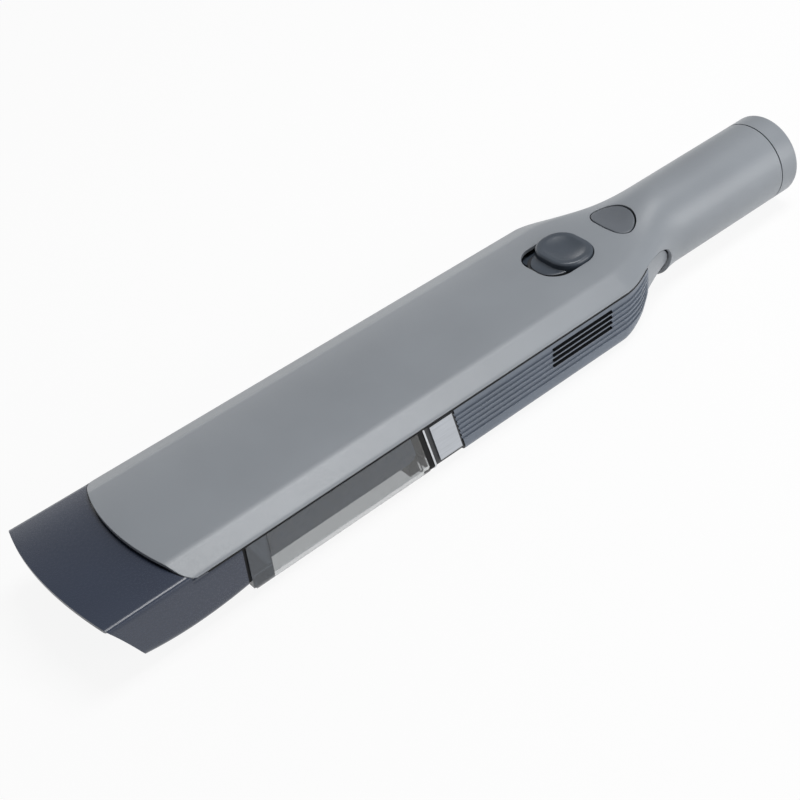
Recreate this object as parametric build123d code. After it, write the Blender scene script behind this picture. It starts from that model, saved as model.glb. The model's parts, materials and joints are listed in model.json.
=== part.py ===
from build123d import *
import math
import os

os.makedirs("parts", exist_ok=True)

# Handheld vacuum of the wand type, in millimetres: X runs from the nozzle to the handle, Z is up.
# Stations along X are counted from the nozzle's tip. The finished pieces are shifted at the end,
# so that the origin lies under the middle of the object, on the surface that it rests on.

# Lengths along the body
nozzle_length = 68.5  # tip to the seam with the dust cup
cup_length = 91.5  # seam to the back of the cup, at the cover's edge
collar_length = 10.5  # dark ring at the front of the cup
gasket_length = 2.8
trim_length = 1.0
badge_setback = 2.7
badge_length = 12.6
badge_margin = 1.4
housing_length = 107.5
neck_length = 57.0
cap_length = 12.4

# Cross-section of the body
front_half = 40.6  # half width of the cover's edge at the tip
rear_half = 38.6  # the same where the neck starts
edge_z = 31.3  # height of the cover's lower edge
lip = 1.1  # upright rim at that edge
facet_run = 10.7
facet_rise = 5.2
crown_rise = 2.2
cover_wall = 2.0
side_step = 1.0  # lower body stands in from the cover's edge
edge_gap = 0.7  # shadow gap under the cover's edge
edge_drop = 0.35  # how far an inner outline's shoulder sinks for each millimetre of inset
side_lean = 1.6
body_corner = 7.0
roof_gap = 0.6  # between the cover's inside and the arch below it
seam_lean = 12.0  # degrees, cross seams behind the cup

# Running and seating clearances
seat = 0.3  # pieces of different bodies, or loose in their seats
pin_play = 0.06  # radial play of a pin in its eye
touch = 0.1  # pieces that bear on each other

# Cover
cover_tip = 34.0
cover_tip_radius = 87.0
cover_corner = 7.0
slot_length = 32.7
slot_width = 28.5
slot_corner = 11.0
slot_setback = 9.3  # back of the slot, behind the start of the neck

# Neck and handle
cell_diameter = 18.3
cell_length = 65.0
cell_play = 0.28
handle_wall = 1.5
handle_axis_z = 23.0
neck_dip = 2.6  # valley in front of the handle
neck_ease = 1.6  # how gently the neck starts to narrow
neck_steps = 6
side_bulge = 0.1  # least crown of the neck's straight sides
edge_bend = 20.0  # where the cover's edge starts to sink, behind the start of the neck
edge_run = 19.5
edge_sink = 3.8
arch_run = 6.5  # tighter curve in which the edge then turns down
crease_turn = 50.0  # degrees, where the body's corners land on the round handle
edge_turn = 20.0
low_turn = -25.0
base_turn = -65.0
crease_sink = 0.5  # share of the valley's depth at the crease and beside it
facet_sink = 0.15
tail_start = 3.0  # where the housing's floor starts to rise, ahead of the neck
tail_rise = 15.0
saddle_start = 35.5  # front of the saddle, ahead of the handle
saddle_inset = 2.2
saddle_wall = 2.0

# Nozzle
nozzle_floor = 6.5
nozzle_corner = 4.5
shoulder_z = 33.4  # crease along the open part of the nozzle
shoulder_crown = 3.4
step_gap = 0.4  # round the tip of the cover
belly_depth = 2.0
belly_front = 17.0
belly_lift = 0.5
nozzle_wall = 2.2
mouth_lean = 0.54  # how far the mouth runs back for each millimetre down
mouth_sag = 3.9  # how far the lip's corners stand back from its middle
duct_setback = 9.0  # duct's front edge behind the lip
duct_half = 24.0
duct_edge = 21.2
duct_crown = 25.2
duct_floor = 9.5
duct_corner = 4.0
duct_wall = 1.6
flange_thick = 3.2
flap_overlap = 1.2
flap_thick = 1.2
flap_hub_radius = 1.6
flap_pin_radius = 0.8
flap_lug = 2.0

# Nozzle hinge
hinge_offset = 1.5  # hinge axis behind the seam
hinge_z = 3.6
hinge_pin_radius = 1.5
hinge_hub_radius = 3.3
hinge_relief = 0.5
hinge_reach = 28.0
nozzle_ear_width = 8.0
cup_ear_width = 11.0
hinge_web = 8.0
spring_wire = 0.7
spring_coil_radius = 2.6
spring_turns = 7

# Nozzle latch, push rod and slider
latch_width = 9.0
latch_waist = 4.0  # width of the arm between the nose and the pivot
latch_heel = 12.6  # width of the rear arm
latch_pivot = 7.5  # pivot behind the seam
latch_pivot_z = 33.4
latch_hub_radius = 2.3
latch_pin_radius = 1.0
latch_arm = 1.2
latch_front = 15.0  # nose ahead of the seam
latch_rear = 22.5  # end of the rear arm behind the seam
nose_length = 2.4
nose_drop = 0.6
catch_length = 2.5
catch_gap = 0.8
catch_top = 33.6
catch_height = 2.0
catch_leg = 2.4
pocket_half = 7.0
pocket_wall = 1.8
pocket_floor = 30.7
rod_half = 4.0
rod_bottom = 35.0
rod_thick = 1.8
rod_lead = 2.0  # rod's tip behind the latch's rear arm
wedge_length = 8.0
wedge_drop = 2.0
channel_half = 5.5
channel_floor = 34.4
slider_travel = 8.5
slider_gap = 0.4
slider_top = 41.4
slider_scoop = 60.0
slider_scoop_depth = 1.2
flange_length = 30.0
flange_width = 32.0
flange_bottom = 32.6
flange_height = 1.6
track_floor = 1.6
track_wall = 1.4
track_spring_room = 12.0
rod_tab = 4.0
slider_spring_radius = 1.3
slider_spring_wire = 0.5
slider_spring_turns = 6
slider_spring_y = 12.0

# Dust cup and filter
cup_wall = 1.8
collar_wall = 3.2
collar_sill = 8.2
chin_rise = 4.8
chin_run = 19.0
rim_length = 3.0
rim_wall = 3.2
seal_thick = 1.3
seal_inset = 0.5
seal_depth = 2.2
liner_wall = 1.0
liner_edge = 15.0
liner_corner = 6.0
filter_half = 24.0
filter_bottom = 16.2
filter_top = 27.2
filter_length = 36.0
filter_wall = 1.2
filter_flange = 5.0
filter_setback = 3.6
pleat_count = 12
pleat_thick = 0.7
screen_thick = 1.0
screen_columns = 15
screen_rows = 4
screen_bar = 0.9
tongue_half = 8.0
tongue_bottom = 3.6
tongue_thick = 1.4
tongue_length = 30.0

# Collar, badge plates and cup release
ring_inset = 0.4
ring_depth = 3.0
frame_inset = 0.7
frame_wall = 2.1
badge_proud = 0.2
badge_thick = 0.8
badge_bottom = 6.5
badge_top = 29.5
grille_thick = 2.0
grille_bar = 2.0
grille_gap = 3.4
grille_half = 27.0
grille_floor = 7.0
grille_height = 20.0
release_length = 13.0
release_start = 3.0  # front of the release button behind the housing's lower front corner
release_half = 26.5
release_corner = 5.0
release_recess = 0.3
release_travel = 1.5
release_flange = 1.5
release_flange_thick = 1.0
yoke_post = 2.0
yoke_length = 3.0
yoke_bar = 2.0
leaf_thick = 0.5
leaf_length = 5.0
leaf_half = 29.0
leaf_z = 5.2
leaf_lug = 1.5
leaf_lug_overlap = 2.0

# Motor housing
housing_wall = 2.2
groove_count = 6
groove_pitch = 3.2
groove_top = 25.5
groove_radius = 0.9
vent_count = 4
vent_start = 60.5  # behind the housing's front edge
vent_length = 38.0
vent_height = 1.8
foam_thick = 3.0
foam_margin = 3.0
screw_front = 33.5
screw_rear = 97.0
screw_y = 27.0
boss_radius = 3.2
boss_top = 8.7
screw_radius = 1.35
screw_hole = 1.6
screw_head_radius = 2.7
screw_head = 1.5
screw_recess = 0.4
screw_bite = 11.0

# Motor and fan
motor_z = 18.2
bulkhead_start = 26.0  # behind the housing's front edge
bulkhead_thick = 2.5
intake_radius = 9.0
shroud_radius = 15.6
shroud_length = 17.0
shroud_wall = 1.2
eye_radius = 8.0
impeller_radius = 13.2
impeller_length = 9.0
impeller_disc = 1.2
impeller_start = 2.8
blade_count = 9
blade_thick = 0.9
can_radius = 12.5
can_length = 36.0
can_wall = 1.2
can_overlap = 4.5  # how far the can's front reaches into the shroud
bell_length = 6.0
shaft_radius = 1.5
bearing_radius = 3.2
bearing_length = 4.0
armature_radius = 8.6
armature_length = 20.0
armature_start = 9.0
armature_slots = 10
armature_slot = 1.4
armature_slot_depth = 3.0
magnet_thick = 1.9
magnet_sweep = 130.0
cradle_length = 6.0
cradle_half = 15.0

# Switch, board and charging contacts
button_front = 23.2  # straight edge of the power button behind the start of the neck
button_straight = 3.8  # disc centre behind that edge
button_bow = 1.4  # crown of the front edge
button_half = 12.5
button_corner = 5.0
button_gap = 0.35
button_travel = 0.9
button_bottom = 32.6
button_flange = 1.2
button_flange_thick = 1.2
board_start = 19.0
board_length = 35.0
board_half = 18.5
board_z = 26.0
board_thick = 1.6
switch_x = 31.5  # behind the start of the neck
switch_side = 6.2
switch_height = 3.0
plunger_radius = 1.7
plunger_depth = 2.0
button_spring_radius = 5.2
button_spring_wire = 0.5
button_spring_turns = 4
post_radius = 1.8
post_margin = 2.0
board_screw_radius = 0.8
board_screw_head_radius = 1.7
board_screw_head = 1.2
board_screw_bite = 5.0
link_thick = 0.2
link_width = 7.0
holder_thick = 2.4
holder_radius = 17.0
holder_hole = 3.0
cap_wall = 1.8
cap_round = 2.4
cap_skirt = 4.0
cap_skirt_wall = 1.5
contact_radius = 2.2
contact_y = 6.5
contact_recess = 0.4
contact_length = 6.4
contact_board_thick = 1.2
contact_board_radius = 16.0

# Worked-out stations and sizes
reach = 120.0  # larger than any cross-section
over = 1.0  # how far a cutting shape runs past what it cuts
x_seam = nozzle_length
x_cup = x_seam + touch + seal_thick + touch
x_clear = x_cup + collar_length
x_cup_rear = x_seam + cup_length
x_trim = x_cup_rear + gasket_length
x_frame = x_trim + trim_length
x_badge = x_frame + badge_setback
x_housing = x_badge + badge_length + badge_margin
x_neck = x_housing + housing_length
x_handle = x_neck + neck_length
handle_bore = cell_diameter / 2 * (1 + 2 / math.sqrt(3)) + cell_play
handle_radius = handle_bore + handle_wall
crease_z = edge_z + lip + facet_rise
crown_z = crease_z + crown_rise
arch_crown = crown_z - cover_wall - roof_gap
x_cells = x_handle + seat
x_cap = x_cells + cell_length + link_thick + holder_thick + cap_skirt + 2 * touch
overall_length = x_cap + cap_length
x_hinge = x_seam + hinge_offset
x_pivot = x_seam + latch_pivot
x_slot_rear = x_neck + slot_setback
x_slot = x_slot_rear - slot_length / 2
slider_length = slot_length - slider_travel - 2 * slider_gap
x_slider = x_slot_rear - slider_gap - slider_length / 2
x_rod_tip = x_seam + latch_rear + rod_lead
x_bulkhead = x_housing + bulkhead_start
x_shroud = x_bulkhead + bulkhead_thick + touch
x_impeller = x_shroud + impeller_start
x_can = x_shroud + shroud_length - can_overlap
x_bell = x_can + can_length
x_button = x_neck + button_front
x_saddle = x_handle - saddle_start
x_bend = x_neck + edge_bend
bend_radius = (edge_run**2 + edge_sink**2) / (2 * edge_sink)
bend_turn = math.asin(edge_run / bend_radius)
arch_radius = arch_run / (1 - math.sin(bend_turn))
x_arch = x_bend + edge_run + arch_run  # ahead of it the cover's underside is open
lean_per_mm = math.tan(math.radians(seam_lean))
x_release = x_housing + lean_per_mm * edge_z + release_start


def block(x0, x1, y0, y1, z0, z1):
    middle = Pos((x0 + x1) / 2, (y0 + y1) / 2, (z0 + z1) / 2)
    return middle * Box(x1 - x0, y1 - y0, z1 - z0)


def rod_along_x(x0, x1, y, z, radius):
    lying = Cylinder(radius, x1 - x0, align=(Align.CENTER, Align.CENTER, Align.MIN))
    return Pos(x0, y, z) * Rot(0, 90, 0) * lying


def rod_along_y(x, y0, y1, z, radius):
    lying = Cylinder(radius, y1 - y0, align=(Align.CENTER, Align.CENTER, Align.MIN))
    return Pos(x, y0, z) * Rot(-90, 0, 0) * lying


def rod_along_z(x, y, z0, z1, radius):
    return Pos(x, y, z0) * Cylinder(radius, z1 - z0, align=(Align.CENTER, Align.CENTER, Align.MIN))


def side_prism(edges, half):
    # Side view outline (X, Z), drawn out to both sides of the middle plane.
    return extrude(Plane.XZ * make_face(edges), amount=half, both=True)


def coil(radius, wire, length, turns):
    # Spring along +Z from its own origin.
    path = Helix(pitch=(length - wire) / turns, height=length - wire, radius=radius)
    section = Plane(origin=path @ 0, z_dir=path % 0) * Circle(wire / 2)
    return Pos(0, 0, wire / 2) * sweep(section, path=path, is_frenet=True)


def half_at(x):
    return front_half + (rear_half - front_half) * x / x_neck


def outline(top_half, low_half, edge, crown, floor, corner):
    # Across the body: arched top, leaning sides, rounded lower corners, flat floor.
    k = corner * (1 - math.sqrt(0.5))
    return [
        ThreePointArc((top_half, edge), (0, crown), (-top_half, edge)),
        Line((-top_half, edge), (-low_half, floor + corner)),
        ThreePointArc((-low_half, floor + corner), (k - low_half, floor + k), (corner - low_half, floor)),
        Line((corner - low_half, floor), (low_half - corner, floor)),
        ThreePointArc((low_half - corner, floor), (low_half - k, floor + k), (low_half, floor + corner)),
        Line((low_half, floor + corner), (top_half, edge)),
    ]


def trough(x, inset, floor, corner):
    top_half = half_at(x) - side_step - inset
    edge = edge_z - edge_gap - inset * edge_drop
    shape = outline(top_half, top_half - side_lean, edge, arch_crown - inset, floor + inset, corner - inset)
    return Plane.YZ.offset(x) * make_face(shape)


def hull(x0, x1, inset, floor=0.0, corner=body_corner):
    return loft([trough(x0, inset, floor, corner), trough(x1, inset, floor, corner)], ruled=True)


def slab(x0, x1):
    # Slice between two leaning cross planes, whose stations are taken at the cover's edge.
    low = lean_per_mm * (edge_z + reach)
    high = lean_per_mm * (edge_z - reach)
    corners = [(x0 + low, -reach), (x1 + low, -reach), (x1 + high, reach), (x0 + high, reach)]
    return side_prism(Polyline(*corners, close=True).edges(), reach)


def spine(x0, x1):
    # Thick middle of the roof, which carries the latch pocket and the push rod's channel.
    return hull(x0, x1, 0) & block(
        x0, x1, -pocket_half - pocket_wall, pocket_half + pocket_wall, pocket_floor - pocket_wall, reach
    )


def rod_channel(x0, x1):
    return block(x0, x1, -channel_half, channel_half, channel_floor, reach)


def latch_pocket():
    return block(
        x_seam - pocket_half, x_cup_rear + reach, -pocket_half, pocket_half, pocket_floor, reach
    )


def cover_outline(x, wall):
    # Cover's cross-section, closed below; with a wall it is the hollow inside it.
    half = half_at(x)
    slope = math.atan2(facet_rise, facet_run)
    drop = wall / math.cos(slope)
    base = edge_z - (over if wall else 0)
    shoulder = edge_z + lip - drop
    crease = half - facet_run - wall * math.tan(slope / 2)
    crease_height = shoulder + (half - crease) * math.tan(slope)
    if wall:
        foot = half - max(base - shoulder, 0) / math.tan(slope)
        sides = [(foot, base)]
    else:
        sides = [(half, base), (half, shoulder)]
    right = sides + [(crease, crease_height)]
    left = [(-y, z) for y, z in reversed(right)]
    edges = [Line(a, b) for a, b in zip(right, right[1:])]
    edges.append(ThreePointArc(right[-1], (0, crown_z - wall), left[0]))
    edges += [Line(a, b) for a, b in zip(left, left[1:])]
    edges.append(Line(left[-1], right[0]))
    return Plane.YZ.offset(x) * make_face(edges)


def neck_outline(t, wall):
    # Blend from the body's outline (t = 0) to the round handle (t = 1), set in by a wall.
    blend = math.sin(t * math.pi / 2) ** neck_ease
    dip = neck_dip * math.sin(t * math.pi) ** 2
    low_half = rear_half - side_lean - wall
    floor = wall - side_step - touch
    corner = body_corner - wall + side_step
    k = corner * (1 - math.sqrt(0.5))
    edge = (rear_half - wall, edge_z + lip - wall)
    crease = (rear_half - facet_run - wall / 2, crease_z - wall)
    body = {
        "top": (0, crown_z - wall),
        "crease": crease,
        "facet": ((edge[0] + crease[0]) / 2, (edge[1] + crease[1]) / 2 + side_bulge),
        "edge": edge,
        "side": ((edge[0] + low_half) / 2 + side_bulge, (edge[1] + floor + corner) / 2),
        "low": (low_half, floor + corner),
        "bend": (low_half - k, floor + k),
        "base": (low_half - corner, floor),
        "floor": (0, floor - side_bulge),
    }
    turns = {
        "top": 90, "crease": crease_turn, "facet": (crease_turn + edge_turn) / 2, "edge": edge_turn,
        "side": (edge_turn + low_turn) / 2, "low": low_turn, "bend": (low_turn + base_turn) / 2,
        "base": base_turn, "floor": -90,
    }
    sink = {"top": 1, "crease": crease_sink, "facet": facet_sink}
    spots = {}
    for name, turn in turns.items():
        radius = handle_radius - wall
        round_y = radius * math.cos(math.radians(turn))
        round_z = handle_axis_z + radius * math.sin(math.radians(turn))
        y = body[name][0] * (1 - blend) + round_y * blend
        z = body[name][1] * (1 - blend) + round_z * blend - dip * sink.get(name, 0)
        spots[name] = (y, z)
    far = {name: (-y, z) for name, (y, z) in spots.items()}
    edges = [
        ThreePointArc(spots["crease"], spots["top"], far["crease"]),
        ThreePointArc(far["crease"], far["facet"], far["edge"]),
        ThreePointArc(far["edge"], far["side"], far["low"]),
        ThreePointArc(far["low"], far["bend"], far["base"]),
        ThreePointArc(far["base"], spots["floor"], spots["base"]),
        ThreePointArc(spots["base"], spots["bend"], spots["low"]),
        ThreePointArc(spots["low"], spots["side"], spots["edge"]),
        ThreePointArc(spots["edge"], spots["facet"], spots["crease"]),
    ]
    return Plane.YZ.offset(x_neck + t * neck_length) * make_face(edges)


def neck(wall_body, wall_handle):
    steps = [i / neck_steps for i in range(neck_steps + 1)]
    return loft([neck_outline(t, wall_body + (wall_handle - wall_body) * t) for t in steps])


def under_arch(gap):
    # Everything below the cover's edge and ahead of the arch where that edge turns down.
    def along(radius, turn):
        return Vector(math.sin(turn), math.cos(turn)) * radius

    first = Vector(x_bend, edge_z - bend_radius)
    second = first + along(bend_radius - arch_radius, bend_turn)
    wide = bend_radius - gap
    tight = arch_radius - gap
    start = first + along(wide, 0)
    joint = first + along(wide, bend_turn)
    foot = second + along(tight, math.pi / 2)
    edges = [
        Line((x_neck, -reach), (x_neck, edge_z - gap)),
        Line((x_neck, edge_z - gap), start),
        ThreePointArc(start, first + along(wide, bend_turn / 2), joint),
        ThreePointArc(joint, second + along(tight, bend_turn / 2 + math.pi / 4), foot),
        Line(foot, (foot.X, -reach)),
        Line((foot.X, -reach), (x_neck, -reach)),
    ]
    return side_prism(edges, reach)


def above_tail(wall):
    # Everything above the curve in which the housing's floor rises towards the saddle.
    run = x_saddle - x_neck + tail_start
    radius = (run**2 + tail_rise**2) / (2 * tail_rise)
    halfway = radius - math.sqrt(radius**2 - run**2 / 4)
    start = x_neck - tail_start
    edges = [
        Line((start - reach, wall), (start, wall)),
        ThreePointArc((start, wall), (start + run / 2, halfway + wall), (x_saddle, tail_rise + wall)),
        Line((x_saddle, tail_rise + wall), (x_handle, tail_rise + wall)),
        Line((x_handle, tail_rise + wall), (x_handle, reach)),
        Line((x_handle, reach), (start - reach, reach)),
        Line((start - reach, reach), (start - reach, wall)),
    ]
    return side_prism(edges, reach)


def button_column(grow, z0, z1):
    # Column on the power button's D outline, set out by grow: a disc cut off by a flat arc in front.
    front = x_button - grow
    radius = button_half + grow
    centre = x_button + button_straight
    chord = math.sqrt(radius**2 - (centre - front - button_bow) ** 2)
    plan = make_face([
        ThreePointArc((front + button_bow, chord), (front, 0), (front + button_bow, -chord)),
        ThreePointArc((front + button_bow, -chord), (centre + radius, 0), (front + button_bow, chord)),
    ])
    plan = fillet(plan.vertices(), button_corner + grow)
    return extrude(Pos(0, 0, z0) * plan, amount=z1 - z0)


def slot_plan(length, width, x):
    return Pos(x, 0, 0) * RectangleRounded(length, width, min(slot_corner, length / 2 - over))


def screw_places():
    return [(x_housing + along, side * screw_y) for along in (screw_front, screw_rear) for side in (-1, 1)]


def board_corners():
    near = x_neck + board_start + post_margin
    far = x_neck + board_start + board_length - post_margin
    side = board_half - post_margin
    return [(x, y) for x in (near, far) for y in (-side, side)]


def tongue_plan(grow):
    # Plan of the cover's tongue with its rounded tip, set out by grow.
    tip = cover_tip - grow
    half = front_half + grow
    radius = cover_tip_radius + grow
    depth = radius - math.sqrt(radius**2 - half**2)
    plan = make_face([
        ThreePointArc((tip + depth, half), (tip, 0), (tip + depth, -half)),
        Line((tip + depth, -half), (x_neck, -half)),
        Line((x_neck, -half), (x_neck, half)),
        Line((x_neck, half), (tip + depth, half)),
    ])
    return extrude(fillet(plan.vertices().sort_by(Axis.X)[:2], cover_corner + grow), amount=reach)


def make_top_cover():
    front = cover_tip - cover_corner
    body = loft([cover_outline(front, 0), cover_outline(x_neck, 0)], ruled=True)
    inside = loft([cover_outline(front, cover_wall), cover_outline(x_neck, cover_wall)], ruled=True)
    tongue = (body - inside) & tongue_plan(0)
    neck_solid = neck(0, 0)
    neck_shell = neck_solid - neck(cover_wall, handle_wall) - under_arch(0)
    tube = rod_along_x(x_handle, x_cap, 0, handle_axis_z, handle_radius)
    tube -= rod_along_x(x_handle, x_cap, 0, handle_axis_z, handle_bore)
    sill = block(x_arch, x_arch + cover_wall, -reach, reach, -reach, tail_rise + saddle_wall)
    shell = tongue + neck_shell + tube + (neck_solid & sill)
    for x, y in screw_places():
        post = rod_along_z(x, y, boss_top + seat, reach, boss_radius) & body
        column = rod_along_z(x, y, boss_top + seat, edge_z + lip, boss_radius)
        shell = shell + (post + column)
        shell -= rod_along_z(x, y, 0, boss_top + seat + screw_bite + seat, screw_radius + pin_play)
    for x, y in board_corners():
        shell += rod_along_z(x, y, board_z + board_thick, reach, post_radius) & neck_solid
        shell -= rod_along_z(x, y, 0, board_z + board_thick + board_screw_bite, board_screw_radius + pin_play)
    shell -= extrude(Pos(0, 0, edge_z) * slot_plan(slot_length, slot_width, x_slot), amount=reach)
    shell -= button_column(button_gap, edge_z, reach)
    return shell


def make_end_cap():
    middle = Pos(x_cap + touch, 0, handle_axis_z) * Rot(0, 90, 0)
    low = (Align.CENTER, Align.CENTER, Align.MIN)
    depth = cap_length - touch
    cap = Cylinder(handle_radius, depth, align=low)
    cap = fillet(cap.edges().sort_by(Axis.Z)[-1], cap_round)
    cap -= Cylinder(handle_bore - touch, depth - cap_wall, align=low)
    skirt_radius = handle_bore - touch
    skirt = Pos(0, 0, -cap_skirt) * Cylinder(skirt_radius, cap_skirt + cap_wall, align=low)
    skirt -= Pos(0, 0, -cap_skirt) * Cylinder(skirt_radius - cap_skirt_wall, cap_skirt + cap_wall, align=low)
    ledge = Cylinder(handle_bore, cap_wall, align=low)
    ledge -= Cylinder(skirt_radius - cap_skirt_wall, cap_wall, align=low)
    cap = middle * (cap + skirt + ledge)
    for side in (-1, 1):
        cap -= rod_along_x(x_cap, x_cap + reach, side * contact_y, handle_axis_z, contact_radius + pin_play)
    return cap


def make_charge_contacts():
    back = overall_length - contact_recess
    pins = [
        rod_along_x(back - contact_length, back, side * contact_y, handle_axis_z, contact_radius)
        for side in (-1, 1)
    ]
    return pins[0] + pins[1]


def make_contact_board():
    front = overall_length - cap_wall - touch - contact_board_thick
    board = rod_along_x(front, front + contact_board_thick, 0, handle_axis_z, contact_board_radius)
    for side in (-1, 1):
        board -= rod_along_x(front, front + reach, side * contact_y, handle_axis_z, contact_radius + pin_play)
    return board


def groove(index, side):
    # One long hollow in the housing's side, following its taper and lean.
    z = groove_top - index * groove_pitch
    ends = []
    for x in (x_housing - reach / 2, x_neck + reach / 4):
        top_half = half_at(x) - side_step
        share = (edge_z - edge_gap - z) / (edge_z - edge_gap - body_corner)
        y = side * (top_half - side_lean * share)
        ends.append(Plane.YZ.offset(x) * Pos(y, z) * Circle(groove_radius))
    return loft(ends, ruled=True)


def make_motor_housing():
    edge = edge_z - edge_gap
    front = x_housing - seam_lean
    keep_low = block(front, x_neck, -reach, reach, -reach, edge)
    body = hull(front, x_neck, 0, -touch) - hull(front - over, x_neck + over, housing_wall, -touch)
    body = body & keep_low & slab(x_housing, x_neck + reach)
    body = body & above_tail(0)
    tail_wall = side_step + housing_wall
    tail = neck(side_step, side_step) & above_tail(0)
    tail -= neck(tail_wall, tail_wall) & above_tail(housing_wall)
    tail = tail & under_arch(edge_gap) & block(x_neck, x_saddle, -reach, reach, -reach, reach)
    rise = hull(x_neck - reach / 2, x_neck, 0, -touch) & block(x_neck - tail_start, x_neck, -reach, reach, 0, edge)
    body += (rise & above_tail(0)) - above_tail(housing_wall)
    shell = body + tail
    for index in range(groove_count):
        for side in (-1, 1):
            shell -= groove(index, side)
    for index in range(vent_count):
        z = groove_top - index * groove_pitch
        start = x_housing + vent_start
        shell -= block(start, start + vent_length, -reach, reach, z - vent_height / 2, z + vent_height / 2)
    for x, y in screw_places():
        shell += rod_along_z(x, y, housing_wall / 2, boss_top, boss_radius)
        shell -= rod_along_z(x, y, 0, boss_top, screw_hole)
        shell -= rod_along_z(x, y, 0, screw_recess + screw_head + touch, screw_head_radius + seat)
    opening = RectangleRounded(release_length + 2 * seat, 2 * (release_half + seat), release_corner)
    centre = x_release + release_length / 2
    shell -= extrude(Pos(centre, 0, -reach) * opening, amount=reach + housing_wall)
    for side in (-1, 1):
        inner = side * (leaf_half - leaf_lug_overlap)
        outer = side * (half_at(centre) - side_step - side_lean - housing_wall / 2)
        lug = block(
            centre - leaf_length, centre + leaf_length, min(inner, outer), max(inner, outer),
            leaf_z + leaf_thick + seat, leaf_z + leaf_thick + seat + leaf_lug,
        )
        shell += lug & hull(front, x_neck, housing_wall / 2)
    return shell


def make_neck_saddle():
    outer = neck(saddle_inset, saddle_inset)
    inner = neck(saddle_inset + saddle_wall, saddle_inset + saddle_wall)
    span = block(x_saddle + touch, x_handle, -reach, reach, -reach, reach)
    shell = (outer & above_tail(0)) - (inner & above_tail(saddle_wall))
    return shell & span & under_arch(edge_gap)


def ring(x0, x1, inset, depth):
    # Band round the body between two leaning planes, with room for the push rod in its roof.
    near = x0 - reach / 2
    far = x1 + reach / 2
    band = hull(near, far, inset) - hull(near - over, far + over, inset + depth)
    band += spine(near, far) & hull(near, far, inset)
    return (band & slab(x0, x1)) - rod_channel(near, far)


def make_housing_collar():
    frame = ring(x_frame + touch, x_housing - touch, frame_inset, frame_wall)
    near = x_frame - reach / 2
    far = x_housing + reach / 2
    back = x_housing - touch
    plate = hull(near, far, frame_inset + frame_wall / 2) & slab(back - grille_thick, back)
    rows = int(grille_height // (grille_bar + grille_gap))
    for row in range(rows):
        z = grille_floor + row * (grille_bar + grille_gap)
        plate -= block(near, far, -grille_half, grille_half, z, z + grille_gap)
    plate -= rod_channel(near, far)
    plate -= block(
        near, far, -tongue_half - seat, tongue_half + seat,
        tongue_bottom - seat, tongue_bottom + tongue_thick + seat,
    )
    return frame + plate


def make_badge_plate(side):
    near = x_badge - reach / 2
    far = x_badge + badge_length + reach / 2
    plate = hull(near, far, -badge_proud) - hull(near - over, far + over, badge_thick - badge_proud)
    edge = (0, reach) if side > 0 else (-reach, 0)
    return plate & slab(x_badge, x_badge + badge_length) & block(near, far, *edge, badge_bottom, badge_top)


def mouth(setback):
    # Everything ahead of the nozzle's slanting mouth.
    height = arch_crown + nozzle_floor
    lift = mouth_lean * height
    middle = setback - lift
    corner = middle + mouth_sag
    face = make_face([
        ThreePointArc((corner, front_half), (middle, 0), (corner, -front_half)),
        Line((corner, -front_half), (corner - reach, -front_half)),
        Line((corner - reach, -front_half), (corner - reach, front_half)),
        Line((corner - reach, front_half), (corner, front_half)),
    ])
    slope = Vector(mouth_lean, 0, -1).normalized()
    return extrude(Pos(0, 0, arch_crown + height) * face, amount=reach, dir=slope)


def eye_y(x, z, radius, y0, y1):
    # A pair of eyes or rods on the Y axis, one each side of the middle.
    return rod_along_y(x, y0, y1, z, radius) + rod_along_y(x, -y1, -y0, z, radius)


def shoulder(x):
    # Section of the nozzle's open part, whose sides run on up to a higher crease.
    low = nozzle_floor - belly_depth
    top_half = half_at(x) - side_step
    edge = edge_z - edge_gap
    rise = side_lean * (shoulder_z - edge) / (edge - low - nozzle_corner)
    shape = outline(
        top_half + rise, top_half - side_lean, shoulder_z, shoulder_z + shoulder_crown, low, nozzle_corner
    )
    return Plane.YZ.offset(x) * make_face(shape)


def belly():
    # Everything above the bowed underside of the nozzle.
    front = nozzle_floor + belly_lift
    middle = (belly_front + x_seam) / 2
    edges = [
        Line((-reach, reach), (-reach, front)),
        Line((-reach, front), (belly_front, front)),
        ThreePointArc((belly_front, front), (middle, nozzle_floor - belly_depth), (x_seam, nozzle_floor)),
        Line((x_seam, nozzle_floor), (x_seam, reach)),
        Line((x_seam, reach), (-reach, reach)),
    ]
    return side_prism(edges, reach)


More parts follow.
